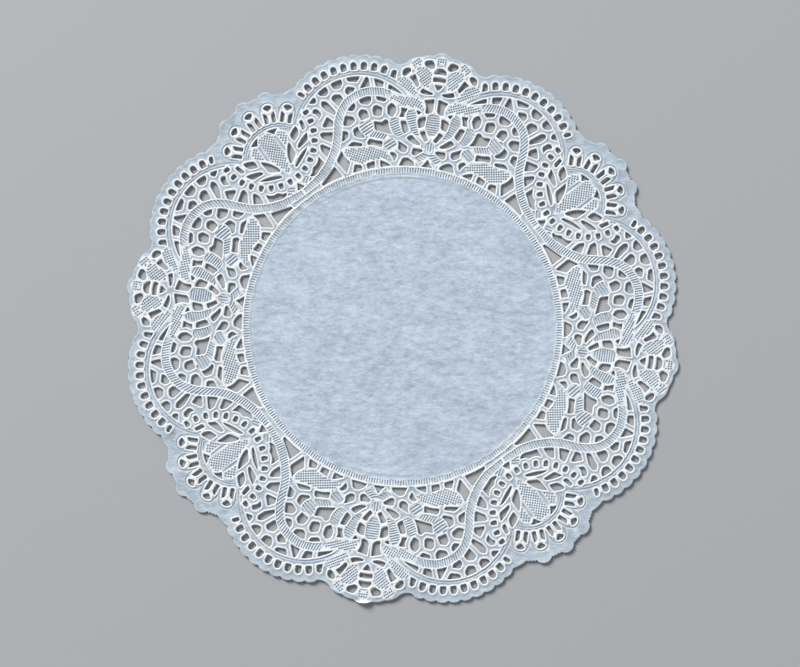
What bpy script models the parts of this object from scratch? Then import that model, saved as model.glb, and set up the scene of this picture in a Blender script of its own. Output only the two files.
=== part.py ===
"""A round lace doily cut from one sheet of paper, laid flat.

The lace repeats four times round the middle and each repeat is mirrored, so one eighth is
worked out and then mirrored and turned. The eighth runs from the axis of a butterfly, straight
up, to the axis of a fan, 45 degrees clockwise of it. Across is +X and up is +Y in it, in
millimetres from the middle of the doily.
"""
import math

import bmesh
import bpy
from mathutils import Vector
from mathutils.geometry import delaunay_2d_cdt

MM = 0.001
SHEET = 1.0             # thickness of the solid sheet
BAR = 1.03              # half the width of a plain bar between two gaps
TAPE = 1.87             # half the width of the ribbed tape that winds round each repeat
LEAF = 0.3              # half the width of the cord round the woven leaf
LEAST_GAP = 6.5         # square millimetres; smaller gaps stay closed in this solid
BOW_STEP = 1.7          # longest straight piece of a bowed side
LEAST_BOW = 0.08        # a side that bows less than this is straight
OVERRUN = 3.0           # how far a side runs on past its junctions before it is trimmed
TURNS = 4
INSIDE = 1              # triangulation kept to the inside of the outer edge

# The band that arches over each repeat, and the row of edge scallops outside it
BAND_MIDDLE = Vector((26.0, 66.4))
BAND_RADIUS = 22.15
SCALLOP_MIDDLE = Vector((25.3, 65.3))
SCALLOP_RADIUS = 31.0
SCALLOP_FIRST = -14.9
SCALLOP_STEP = 8.28
SCALLOP_COUNT = 10
SCALLOP_RISE = 0.85
LAST_SCALLOP_RISE = 0.3

# The round medallion of the fan: its picots, and the bumps of its outer edge
PICOT_MIDDLE = Vector((59.85, 59.85))
PICOT_RADIUS = 18.0
PICOT_STEP = 11.8
PICOT_LOBE = 2.8
PICOT_FIRST = 225.0
PICOT_SWEEP = 90.0
PICOT_POINTS = 80
FAN_MIDDLE = Vector((53.65, 53.65))
FAN_RADIUS = 24.2

# bearing of the joint from the fan's middle, rise of the edge after it
FAN_JOINTS = (
    (6.8, 0.25),
    (15.3, 1.6),
    (29.8, 0.25),
    (37.6, 1.6),
)

# across, up, rise of the edge after it
BUTTERFLY_JOINTS = (
    (3.3, 100.15, 0.35),
    (7.8, 99.05, 0.7),
    (12.9, 96.4, -0.55),
)
BROW_RISE = 1.45        # rise of the edge across the butterfly's head

# Middle line of the ribbed tape: across, up
TAPE_LINE = (
    (8.0, 80.9), (13.4, 82.4), (18.4, 83.6), (22.2, 83.85), (25.8, 83.2), (29.0, 81.5),
    (31.4, 79.4), (33.1, 76.9), (34.1, 73.8), (34.4, 70.0), (34.1, 66.0), (33.9, 62.5),
    (34.2, 59.5), (34.9, 56.4), (36.1, 52.8), (37.8, 49.6), (40.3, 46.5), (43.5, 43.5),
)

# Upper edge of the big woven leaf: across, up
LEAF_LINE = (
    (13.4, 61.6), (18.0, 63.55), (20.5, 63.75), (23.0, 63.3), (25.0, 62.5), (30.0, 61.9),
    (32.2, 61.8),
)

# Where bars meet: across, up, the lines the point is laid on
JUNCTIONS = {
    "band0": (10.3, 81.6, "band tape"),
    "band1": (19.1, 87.8, "band"),
    "band2": (25.1, 88.5, "band"),
    "band3": (28.1, 88.4, "band"),
    "band4": (35.1, 86.8, "band"),
    "band5": (40.35, 83.4, "band"),
    "band6": (44.5, 79.1, "band"),
    "band7": (46.9, 74.55, "band"),
    "tape1": (19.5, 83.9, "tape"),
    "tape2": (23.2, 83.7, "tape"),
    "tape3": (29.9, 81.0, "tape"),
    "tape4": (32.1, 78.7, "tape"),
    "tape5": (34.1, 73.9, "tape"),
    "tape6": (34.4, 70.9, "tape"),
    "tape7": (34.3, 67.9, "tape"),
    "tape8": (33.9, 61.2, "tape"),
    "tape9": (35.3, 54.5, "tape"),
    "knot0": (29.3, 85.0, ""),
    "knot1": (34.05, 84.9, ""),
    "knot2": (35.05, 81.75, ""),
    "knot3": (38.45, 81.05, ""),
    "knot4": (39.7, 78.3, ""),
    "knot5": (42.75, 77.95, ""),
    "knot6": (42.7, 75.1, ""),
    "knot7": (40.3, 73.1, ""),
    "picot1": (40.5, 66.5, "picots"),
    "picot2": (39.8, 62.4, "picots"),
    "picot3": (39.7, 58.0, "picots"),
    "loop1": (16.0, 83.2, "tape"),
    "loop2": (23.8, 83.7, "tape"),
    "loop3": (30.3, 80.7, "tape"),
    "loop4": (34.1, 74.2, "tape"),
    "loop5": (34.3, 68.5, "tape"),
    "loop6": (33.9, 60.3, "tape"),
    "net0": (18.5, 79.1, ""),
    "net1": (22.6, 79.95, ""),
    "net2": (24.0, 77.4, ""),
    "net3": (27.95, 77.4, ""),
    "net4": (22.85, 73.9, ""),
    "net5": (19.2, 73.75, ""),
    "net6": (18.05, 75.2, ""),
    "net7": (28.85, 74.2, ""),
    "net8": (27.1, 71.6, ""),
    "net9": (29.8, 68.5, ""),
    "net10": (28.75, 65.0, ""),
    "net11": (23.55, 64.9, ""),
    "leaf1": (23.5, 62.9, "leaf"),
    "leaf2": (31.4, 62.1, "leaf"),
}

# Gaps between bars, each named by the junctions round it
CELLS = {
    "under band 1": "band0 band1 tape1",
    "under band 2": "band1 band2 tape2 tape1",
    "under band 3": "band2 band3 knot0 tape3 tape2",
    "under band 4": "band3 band4 knot1 knot0",
    "under band 5": "band4 band5 knot3 knot2 knot1",
    "under band 6": "band5 band6 knot5 knot4 knot3",
    "under band 7": "band6 band7 knot6 knot5",
    "by tape 1": "knot0 knot1 knot2 tape4 tape3",
    "by tape 2": "knot2 knot3 knot4 tape5 tape4",
    "by tape 3": "knot4 knot5 knot6 knot7 tape6 tape5",
    "by tape 4": "tape7 picot1 picot2 tape8",
    "by tape 5": "tape8 picot2 picot3 tape9",
    "net 1": "loop1 loop2 net1 net0",
    "net 2": "loop2 loop3 net3 net2 net1",
    "net 3": "net0 net1 net2 net4 net5 net6",
    "net 4": "net3 loop3 loop4 net7",
    "net 5": "net7 loop4 loop5 net9 net8",
    "net 6": "net9 loop5 loop6 net10",
    "net 7": "net11 net10 leaf2 leaf1",
}

# Gaps cut to a shape of their own. Each corner: across, up, outward bow of the side after it
SHAPES = {
    "dome over body": ((2.35, 93.25, 0.75), (0, 95.6, 0.75), (-2.35, 93.25, -0.2)),
    "bar in body": (
        (2.4, 92.05, 0), (0, 92.3, 0), (-2.4, 92.05, 0), (-2.25, 90.4, -0.25), (2.25, 90.4, 0)),
    "by feeler": ((2.2, 95.95, 0), (3.35, 94.9, 0), (6.1, 96.0, 0), (6.35, 97.45, 0.15), (3.4, 98.15, 0)),
    "between wings": ((9.25, 92.35, 0), (7.1, 88.5, 0), (7.9, 87.55, 0), (10.0, 90.0, 0), (11.15, 90.8, 0)),
    "pillar": ((0.8, 84.1, 0), (0.8, 79.4, 0), (2.3, 78.35, 0), (3.5, 78.55, -0.6), (4.45, 83.1, 0)),
    "palm toe": ((4.5, 58.7, 0), (10.2, 58.0, -0.1), (9.3, 60.8, 0), (7.5, 61.3, 0), (5.3, 60.1, 0)),
    "palm step": ((2.3, 64.4, 0), (5.0, 62.3, 0), (6.25, 62.9, 0), (6.0, 65.1, 0), (2.7, 65.1, 0)),
    "palm gusset": ((8.1, 65.2, 0), (8.35, 63.2, 0), (9.7, 62.9, 0.1), (11.5, 64.3, -0.3), (11.8, 66.9, 0)),
    "palm blade": ((3.6, 66.9, 0), (4.0, 66.4, 0.5), (8.85, 68.4, 0.2), (7.1, 69.75, -0.1)),
    "palm shin": ((10.1, 74.7, 0), (8.4, 71.2, 0), (10.05, 69.8, 0.15), (11.95, 74.3, 0)),
    "palm cheek": ((2.9, 77.1, 0), (3.1, 73.5, 0), (5.1, 72.7, 0), (5.85, 75.7, 0.4)),
    "net lantern": (
        (16.3, 80.45, 0), (14.6, 79.5, 0), (14.05, 77.6, 0), (15.15, 75.2, 0), (17.0, 76.1, 0),
        (17.55, 78.8, 0)),
    "net star": (
        (14.35, 68.9, 0), (20.8, 69.65, 0), (21.65, 72.7, 0), (18.75, 72.65, 0), (17.5, 74.15, 0),
        (16.35, 73.5, -0.4)),
    "net by bulb": (
        (24.9, 76.35, 0), (23.6, 73.9, 0), (25.0, 73.15, 0), (26.2, 72.25, 0), (27.8, 74.5, 0),
        (27.05, 76.35, 0)),
    "net under bulb": (
        (27.2, 69.9, -0.45), (24.15, 66.7, 0), (24.5, 65.9, 0), (27.8, 66.1, 0), (28.75, 68.4, 0)),
    "net over leaf": (
        (17.5, 65.9, 0), (17.3, 63.6, -0.3), (22.6, 63.8, 0), (22.85, 64.9, 0), (22.2, 66.15, -0.25)),
    "ring row 3": ((23.7, 55.9, 0), (23.2, 54.2, 0), (26.3, 52.8, 0), (26.2, 55.8, 0)),
    "ring row 4": ((31.7, 60.1, -0.5), (28.0, 56.4, 0), (28.5, 52.2, 0), (32.95, 56.2, 0)),
    "ring row 5": ((33.5, 53.9, 0), (30.1, 50.75, -0.2), (36.6, 46.3, 0), (37.0, 46.9, 0)),
    "by picots 1": ((38.9, 71.65, 0), (36.4, 70.4, 0), (36.2, 68.6, 0), (39.6, 67.65, 0), (39.95, 68.3, 0)),
    "by picots 2": (
        (39.85, 56.75, 0), (37.35, 54.6, -0.15), (39.4, 50.2, 0.1), (41.3, 49.1, 0), (41.7, 49.4, -0.45),
        (41.25, 52.4, -0.75)),
    "fan leaf 1": ((49.8, 66.6, 0.3), (48.25, 63.6, 0), (49.45, 61.0, 0), (51.3, 62.8, 0.2)),
    "fan leaf 2": ((45.35, 64.9, 0), (44.55, 62.1, 0), (47.4, 58.7, 0), (47.9, 59.4, 0.3)),
    "fan leaf 3": ((44.4, 59.5, 0.35), (47.2, 51.7, 0), (47.6, 52.1, 0.6)),
    "fan leaf 4": ((51.4, 60.4, 0), (48.2, 56.8, 0), (49.1, 52.9, 0), (49.6, 52.8, 0.7)),
}


def polar(middle, radius, bearing):
    """Point at a radius and a bearing, clockwise from straight up."""
    turn = math.radians(bearing)
    return middle + radius * Vector((math.sin(turn), math.cos(turn)))


def arc(middle, radius, first, last, count):
    """Points along a circle from one bearing to another."""
    return [polar(middle, radius, first + (last - first) * i / count) for i in range(count + 1)]


def spline(rows, count=5):
    """Smooth line through the rows."""
    points = [Vector(row) for row in rows]
    points = [points[0]] + points + [points[-1]]
    line = []
    for a, b, c, d in zip(points, points[1:], points[2:], points[3:]):
        for i in range(count):
            t = i / count
            line.append(0.5 * (2 * b + (c - a) * t + (2 * a - 5 * b + 4 * c - d) * t ** 2
                               + (3 * b - a - 3 * c + d) * t ** 3))
    return line + [points[-1]]


def picot_line():
    """Outer edge of the picot row: a round lobe for each picot."""
    line = []
    for i in range(PICOT_POINTS):
        past = PICOT_SWEEP * i / (PICOT_POINTS - 1)
        off = math.radians((past / PICOT_STEP) % 1 * PICOT_STEP - PICOT_STEP / 2)
        reach = PICOT_RADIUS * math.cos(off)
        reach += math.sqrt(PICOT_LOBE ** 2 - (PICOT_RADIUS * math.sin(off)) ** 2)
        line.append(polar(PICOT_MIDDLE, reach, PICOT_FIRST + past))
    return line


# Named lines that gaps run along, with half the width of the paper laid on each
LINES = {
    "band": (arc(BAND_MIDDLE, BAND_RADIUS, -60, 80, 80), 0.0),
    "tape": (spline(TAPE_LINE), TAPE),
    "picots": (picot_line(), 0.0),
    "leaf": (spline(LEAF_LINE), LEAF),
}


def stations(line):
    """Distance along a line of each of its points."""
    found = [0.0]
    for a, b in zip(line, line[1:]):
        found.append(found[-1] + (b - a).length)
    return found


STATIONS = {name: stations(line) for name, (line, half) in LINES.items()}


def nearest(name, point):
    """Distance along a named line, and the spot on it, nearest a point."""
    best = (math.inf, 0.0, point)
    line = LINES[name][0]
    for a, b, station in zip(line, line[1:], STATIONS[name]):
        t = max(0.0, min(1.0, (point - a).dot(b - a) / (b - a).length_squared))
        spot = a.lerp(b, t)
        best = min(best, ((spot - point).length, station + t * (b - a).length, spot), key=lambda row: row[0])
    return best[1], best[2]


def place_junctions():
    """Spot of every junction and its station on each line it lies on."""
    spots = {}
    for name, (across, up, lines) in JUNCTIONS.items():
        spot = Vector((across, up))
        on = {}
        for line in lines.split():
            on[line], found = nearest(line, spot)
            if len(on) == 1:
                spot = found
        spots[name] = (spot, on)
    return spots


SPOTS = place_junctions()


def side(start, end):
    """One side of a cell between two junctions, run on past both, set in by half its paper."""
    (a, on_a), (b, on_b) = SPOTS[start], SPOTS[end]
    shared = [name for name in on_a if name in on_b]
    if shared:
        line, half = LINES[shared[0]]
        first, last = on_a[shared[0]], on_b[shared[0]]
        low, high = min(first, last) - OVERRUN, max(first, last) + OVERRUN
        points = [p for p, station in zip(line, STATIONS[shared[0]]) if low < station < high]
        if first > last:
            points.reverse()
    else:
        half = BAR
        on = (b - a).normalized() * OVERRUN
        points = [a - on, b + on]
    moved = []
    for i, point in enumerate(points):
        run = (points[min(i + 1, len(points) - 1)] - points[max(i - 1, 0)]).normalized()
        moved.append(point + half * Vector((-run.y, run.x)))
    return moved


def meet(one, other, near):
    """Where two open lines cross nearest a point, with the place on each."""
    best = None
    for i, (a, b) in enumerate(zip(one, one[1:])):
        for j, (c, d) in enumerate(zip(other, other[1:])):
            across = (b - a).cross(d - c)
            if abs(across) < 1e-9:
                continue
            t = (c - a).cross(d - c) / across
            u = (c - a).cross(b - a) / across
            if -1e-9 <= t <= 1 + 1e-9 and -1e-9 <= u <= 1 + 1e-9:
                spot = a.lerp(b, t)
                far = (spot - near).length
                if best is None or far < best[0]:
                    best = (far, spot, i + t, j + u)
    return best


def area(points):
    """Area inside a closed row of points, above zero when it runs anticlockwise."""
    return 0.5 * sum(a.cross(b) for a, b in zip(points, points[1:] + points[:1]))


def cell_gap(names):
    """Gap inside the bars and lines that join a ring of junctions."""
    if area([SPOTS[name][0] for name in names]) < 0:
        names = names[::-1]
    count = len(names)
    sides = [side(names[i], names[(i + 1) % count]) for i in range(count)]
    corners = [meet(sides[i - 1], sides[i], SPOTS[names[i]][0]) for i in range(count)]
    points = []
    for i in range(count):
        points.append(corners[i][1])
        first = math.ceil(corners[i][3] + 0.2)
        last = math.floor(corners[(i + 1) % count][2] - 0.2)
        inner = sides[i][first:last + 1]
        run = stations([points[-1]] + inner + [corners[(i + 1) % count][1]])[-1]
        keep = min(len(inner), max(0, round(run / BOW_STEP) - 1))
        points += [inner[round((k + 1) * (len(inner) - 1) / (keep + 1))] for k in range(keep)]
    return points


def bowed(a, b, bow):
    """Points from one corner up to the next along a side that bows out to the right."""
    run = b - a
    out = Vector((run.y, -run.x)).normalized()
    count = 1 if abs(bow) < LEAST_BOW else max(2, math.ceil(run.length / BOW_STEP))
    return [a.lerp(b, i / count) + out * bow * 4 * (i / count) * (1 - i / count) for i in range(count)]


def shape_gap(rows):
    """Gap with corners and bowed sides of its own."""
    if area([Vector(row[:2]) for row in rows]) < 0:
        rows = [(*rows[i][:2], rows[i - 1][2]) for i in range(len(rows) - 1, -1, -1)]
    points = []
    for row, after in zip(rows, rows[1:] + rows[:1]):
        points += bowed(Vector(row[:2]), Vector(after[:2]), row[2])
    return points


def edge_joints():
    """Joints of the outer edge in the eighth, each with the rise of the edge after it."""
    joints = [(Vector((across, up)), rise) for across, up, rise in BUTTERFLY_JOINTS]
    for k in range(SCALLOP_COUNT):
        spot = polar(SCALLOP_MIDDLE, SCALLOP_RADIUS, SCALLOP_FIRST + SCALLOP_STEP * k)
        joints.append((spot, SCALLOP_RISE if k + 1 < SCALLOP_COUNT else LAST_SCALLOP_RISE))
    for bearing, rise in FAN_JOINTS:
        joints.append((polar(FAN_MIDDLE, FAN_RADIUS, bearing), rise))
    return joints


def turned(point, flip, turn):
    """Point mirrored in the butterfly's axis if flip is -1, then turned clockwise by quarters."""
    x, y = point.x * flip, point.y
    for _ in range(turn):
        x, y = y, -x
    return Vector((x, y))


def outline():
    """Whole outer edge, clockwise."""
    joints = edge_joints()
    rises = [BROW_RISE] + [rise for spot, rise in joints]
    quarter = list(joints)
    for k in range(len(joints) - 1, -1, -1):
        spot = joints[k][0]
        quarter.append((Vector((spot.y, spot.x)), rises[k]))
    points = []
    for turn in range(TURNS):
        corners = [turned(spot, 1, turn) for spot, rise in quarter]
        corners.append(turned(quarter[0][0], 1, turn + 1))
        for a, b, (spot, rise) in zip(corners, corners[1:], quarter):
            points += bowed(a, b, -rise)
    return points


def all_gaps():
    """Every gap of the whole doily that is large enough to cut through."""
    eighth = [cell_gap(names.split()) for names in CELLS.values()]
    eighth += [shape_gap(rows) for rows in SHAPES.values()]
    gaps = []
    for points in eighth:
        if abs(area(points)) < LEAST_GAP:
            continue
        on_axis = abs(sum(point.x for point in points)) < 0.01 * len(points)
        for flip in (1,) if on_axis else (1, -1):
            for turn in range(TURNS):
                gaps.append([turned(point, flip, turn) for point in points])
    return gaps


def holds(loop, point):
    """Whether a point lies inside a closed loop."""
    odd = False
    for a, b in zip(loop, loop[1:] + loop[:1]):
        if (a.y > point.y) != (b.y > point.y):
            odd ^= point.x < a.x + (b.x - a.x) * (point.y - a.y) / (b.y - a.y)
    return odd


def sheet(name, edge_loop, gaps, thickness):
    """Flat sheet inside the edge loop with the gaps cut through it."""
    loops = [edge_loop] + gaps
    spans = [(min(p.x for p in gap), max(p.x for p in gap), gap) for gap in gaps]
    points = [point * MM for loop in loops for point in loop]
    edges = []
    for loop in loops:
        first = len(edges)
        edges += [(first + i, first + (i + 1) % len(loop)) for i in range(len(loop))]
    flat = delaunay_2d_cdt(points, edges, [], INSIDE, 1e-7)
    spots = flat[0]
    faces = []
    for face in flat[2]:
        centre = (spots[face[0]] + spots[face[1]] + spots[face[2]]) / (3 * MM)
        if not any(low < centre.x < high and holds(gap, centre) for low, high, gap in spans):
            faces.append(face)
    shape = bmesh.new()
    low = [shape.verts.new((spot.x, spot.y, 0.0)) for spot in spots]
    high = [shape.verts.new((spot.x, spot.y, thickness)) for spot in spots]
    for face in faces:
        shape.faces.new([high[i] for i in face])
        shape.faces.new([low[i] for i in reversed(face)])
    twin = dict(zip(low, high))
    rims = [edge for edge in shape.edges if edge.is_boundary and edge.verts[0] in twin]
    for edge in rims:
        a, b = edge.link_loops[0].vert, edge.link_loops[0].link_loop_next.vert
        shape.faces.new([b, a, twin[a]])
        shape.faces.new([b, twin[a], twin[b]])
    bmesh.ops.recalc_face_normals(shape, faces=shape.faces)
    mesh = bpy.data.meshes.new(name)
    shape.to_mesh(mesh)
    shape.free()
    made = bpy.data.objects.new(name, mesh)
    bpy.context.scene.collection.objects.link(made)
    return made


def paper():
    """Cool white paper, matt."""
    material = bpy.data.materials.new("white_paper")
    material.use_nodes = True
    shader = material.node_tree.nodes["Principled BSDF"]
    shader.inputs["Base Color"].default_value = (0.72, 0.77, 0.82, 1.0)
    shader.inputs["Roughness"].default_value = 0.85
    return material


for old in list(bpy.data.objects):
    bpy.data.objects.remove(old, do_unlink=True)

doily = sheet("doily", outline(), all_gaps(), SHEET * MM)
doily.data.materials.append(paper())
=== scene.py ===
import math

import bpy
import numpy as np
from mathutils import Matrix, Vector
from mathutils.geometry import delaunay_2d_cdt


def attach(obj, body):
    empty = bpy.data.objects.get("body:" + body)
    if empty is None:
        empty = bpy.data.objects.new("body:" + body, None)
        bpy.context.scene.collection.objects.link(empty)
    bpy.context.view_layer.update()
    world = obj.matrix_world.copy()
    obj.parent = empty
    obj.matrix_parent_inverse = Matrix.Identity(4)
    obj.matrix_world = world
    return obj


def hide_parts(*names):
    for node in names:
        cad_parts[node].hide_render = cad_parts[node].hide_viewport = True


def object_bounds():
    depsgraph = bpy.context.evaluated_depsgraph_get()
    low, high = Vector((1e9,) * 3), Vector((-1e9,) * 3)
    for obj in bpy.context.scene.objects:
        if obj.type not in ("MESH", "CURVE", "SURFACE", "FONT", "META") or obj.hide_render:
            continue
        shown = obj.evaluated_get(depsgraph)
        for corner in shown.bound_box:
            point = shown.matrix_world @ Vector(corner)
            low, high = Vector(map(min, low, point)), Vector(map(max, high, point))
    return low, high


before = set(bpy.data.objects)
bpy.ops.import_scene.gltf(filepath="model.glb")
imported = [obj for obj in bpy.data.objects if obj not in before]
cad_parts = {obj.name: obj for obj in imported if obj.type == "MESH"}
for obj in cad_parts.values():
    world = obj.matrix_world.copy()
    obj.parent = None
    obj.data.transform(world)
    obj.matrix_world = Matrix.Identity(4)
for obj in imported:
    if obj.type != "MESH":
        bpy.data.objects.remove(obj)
cad_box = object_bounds()

# Doily
# One sheet of white tissue paper, punched and embossed by one stroke of a press. The lace
# repeats four times and each repeat is mirrored, so one eighth is worked out, from the axis of
# a butterfly, straight up, to the axis of a fan, 45 degrees clockwise, and then repeated.

CHART_SPAN = 203.2      # the chart's own width; every chart size below is a real millimetre of it
MM = (cad_box[1][0] - cad_box[0][0]) / CHART_SPAN
BAR = 1.03              # half the width of a plain bar between two gaps
TAPE = 1.87             # half the width of the ribbed tape that winds round each repeat
LEAF = 0.3              # half the width of the cord round the woven leaf
OVERRUN = 3.0           # how far a side runs on past its junctions before it is trimmed
STEP = 0.8              # longest straight piece of a curved side
CELL_STEP = 0.8 * STEP  # shortest straight piece of a cell's side
CORNER_SHARE = 0.2      # least share of a line's piece between a corner and the next point
LEAST_BOW = 0.03        # a side that bows less is straight
CORNER = 0.42           # how far back from a corner its rounding starts
CORNER_PART = 0.4       # most of a side that one rounding takes
LEAST_TURN = math.radians(25)   # a corner that turns less stays sharp
ROUND_TURN = math.radians(80)   # one that turns more has a point more on its rounding
END_ROOM = 0.1          # least distance from the end of a trimmed side to the next point
TINY = 1e-9             # slack for rounding errors
EIGHTH = 45             # bearing of the fan's axis, where the eighth ends

# The row of scallops, the band inside it, the eyelets between the two, the row of picots and the
# fan: middle and radius of each arc, and the bearing and step in degrees of what repeats on it.
# Bearings run clockwise from straight up.
ORIGIN = Vector((0, 0))
BAND_MIDDLE = Vector((26.0, 66.4))
BAND_RADIUS = 22.15
BAND_FROM = -60.0       # bearings where the band's arc starts and ends
BAND_TO = 80.0
SCALLOP_MIDDLE = Vector((25.3, 65.3))
SCALLOP_RADIUS = 31.0
SCALLOP_FIRST = -14.9
SCALLOP_STEP = 8.28
SCALLOP_COUNT = 10
SCALLOP_RISE = 0.85     # rise of each scallop from the straight line between its ends
LAST_SCALLOP_RISE = 0.3
EYELET_RADIUS = 27.4
EYELET_FIRST = -9.7
EYELET_STEP = 8.0
EYELET_COUNT = 9
PICOT_MIDDLE = Vector((59.85, 59.85))
PICOT_RADIUS = 18.0
PICOT_STEP = 11.8
PICOT_LOBE = 2.8        # radius of the round lobe over each picot
PICOT_FIRST = 225.0
PICOT_SWEEP = 90.0      # how far round the row its outer edge is drawn
PICOT_POINTS = 80       # points of that edge
PICOT_COUNT = 8
FAN_MIDDLE = Vector((53.65, 53.65))
FAN_RADIUS = 23.98
LOOP_BEARINGS = (0.0, 22.5, 45.0)

# Fan's edge, three small teeth and a lobe in turn. Each: bearing of a joint from the fan's
# middle, rise of the edge after it
TOOTH = 0.36
FAN_JOINTS = (
    (6.9, TOOTH), (9.8, TOOTH), (12.7, TOOTH), (15.6, 1.8),
    (29.5, TOOTH), (32.4, TOOTH), (35.3, TOOTH), (38.2, 1.82),
)

# Butterfly's edge. Each: across, up, rise of the edge after it
BUTTERFLY_JOINTS = (
    (3.3, 100.15, 0.35), (7.8, 99.05, 0.7), (12.9, 96.4, -0.55),
)
BROW_RISE = 1.45        # rise of the edge across the butterfly's head

# Middle line of the ribbed tape: across, up
TAPE_LINE = (
    (8.0, 80.9), (13.4, 82.4), (18.4, 83.6), (22.2, 83.85), (25.8, 83.2), (29.0, 81.5),
    (31.4, 79.4), (33.1, 76.9), (34.1, 73.8), (34.4, 70.0), (34.1, 66.0), (33.9, 62.5),
    (34.2, 59.5), (34.9, 56.4), (36.1, 52.8), (37.8, 49.6), (40.1, 46.6), (43.1, 43.1),
    (46.6, 40.1),
)

# Upper edge of the big woven leaf: across, up
LEAF_LINE = (
    (13.4, 61.6), (18.0, 63.55), (20.5, 63.75), (23.0, 63.3), (25.0, 62.5), (30.0, 61.9),
    (32.2, 61.8),
)

# Where bars meet: across, up, the lines the point is laid on
JUNCTIONS = {
    "band0": (10.3, 81.6, "band tape"),
    "band1": (19.1, 87.8, "band"),
    "band2": (25.1, 88.5, "band"),
    "band3": (28.1, 88.4, "band"),
    "band4": (35.1, 86.8, "band"),
    "band5": (40.35, 83.4, "band"),
    "band6": (44.5, 79.1, "band"),
    "band7": (46.9, 74.55, "band"),
    "tape1": (19.5, 83.9, "tape"),
    "tape2": (23.2, 83.7, "tape"),
    "tape3": (29.9, 81.0, "tape"),
    "tape4": (32.1, 78.7, "tape"),
    "tape5": (34.1, 73.9, "tape"),
    "tape6": (34.4, 70.9, "tape"),
    "tape7": (34.3, 67.9, "tape"),
    "tape8": (33.9, 61.2, "tape"),
    "tape9": (35.3, 54.5, "tape"),
    "knot0": (29.3, 85.0, ""),
    "knot1": (34.05, 84.9, ""),
    "knot2": (35.05, 81.75, ""),
    "knot3": (38.45, 81.05, ""),
    "knot4": (39.7, 78.3, ""),
    "knot5": (42.75, 77.95, ""),
    "knot6": (42.7, 75.1, ""),
    "knot7": (40.3, 73.1, ""),
    "picot1": (40.5, 66.5, "picots"),
    "picot2": (39.8, 62.4, "picots"),
    "picot3": (39.7, 58.0, "picots"),
    "loop1": (16.0, 83.2, "tape"),
    "loop2": (23.8, 83.7, "tape"),
    "loop3": (30.3, 80.7, "tape"),
    "loop4": (34.1, 74.2, "tape"),
    "loop5": (34.3, 68.5, "tape"),
    "loop6": (33.9, 60.3, "tape"),
    "net0": (18.5, 79.1, ""),
    "net1": (22.6, 79.95, ""),
    "net2": (24.0, 77.4, ""),
    "net3": (27.95, 77.4, ""),
    "net4": (22.85, 73.9, ""),
    "net5": (19.2, 73.75, ""),
    "net6": (18.05, 75.2, ""),
    "net7": (28.85, 74.2, ""),
    "net8": (27.1, 71.6, ""),
    "net9": (29.8, 68.5, ""),
    "net10": (28.75, 65.0, ""),
    "net11": (23.55, 64.9, ""),
    "leaf1": (23.5, 62.9, "leaf"),
    "leaf2": (31.4, 62.1, "leaf"),
}

# Gaps between bars, each named by the junctions round it
CELLS = {
    "under band 1": "band0 band1 tape1",
    "under band 2": "band1 band2 tape2 tape1",
    "under band 3": "band2 band3 knot0 tape3 tape2",
    "under band 4": "band3 band4 knot1 knot0",
    "under band 5": "band4 band5 knot3 knot2 knot1",
    "under band 6": "band5 band6 knot5 knot4 knot3",
    "under band 7": "band6 band7 knot6 knot5",
    "by tape 1": "knot0 knot1 knot2 tape4 tape3",
    "by tape 2": "knot2 knot3 knot4 tape5 tape4",
    "by tape 3": "knot4 knot5 knot6 knot7 tape6 tape5",
    "by tape 4": "tape7 picot1 picot2 tape8",
    "by tape 5": "tape8 picot2 picot3 tape9",
    "net 1": "loop1 loop2 net1 net0",
    "net 2": "loop2 loop3 net3 net2 net1",
    "net 3": "net0 net1 net2 net4 net5 net6",
    "net 4": "net3 loop3 loop4 net7",
    "net 5": "net7 loop4 loop5 net9 net8",
    "net 6": "net9 loop5 loop6 net10",
    "net 7": "net11 net10 leaf2 leaf1",
}

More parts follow.
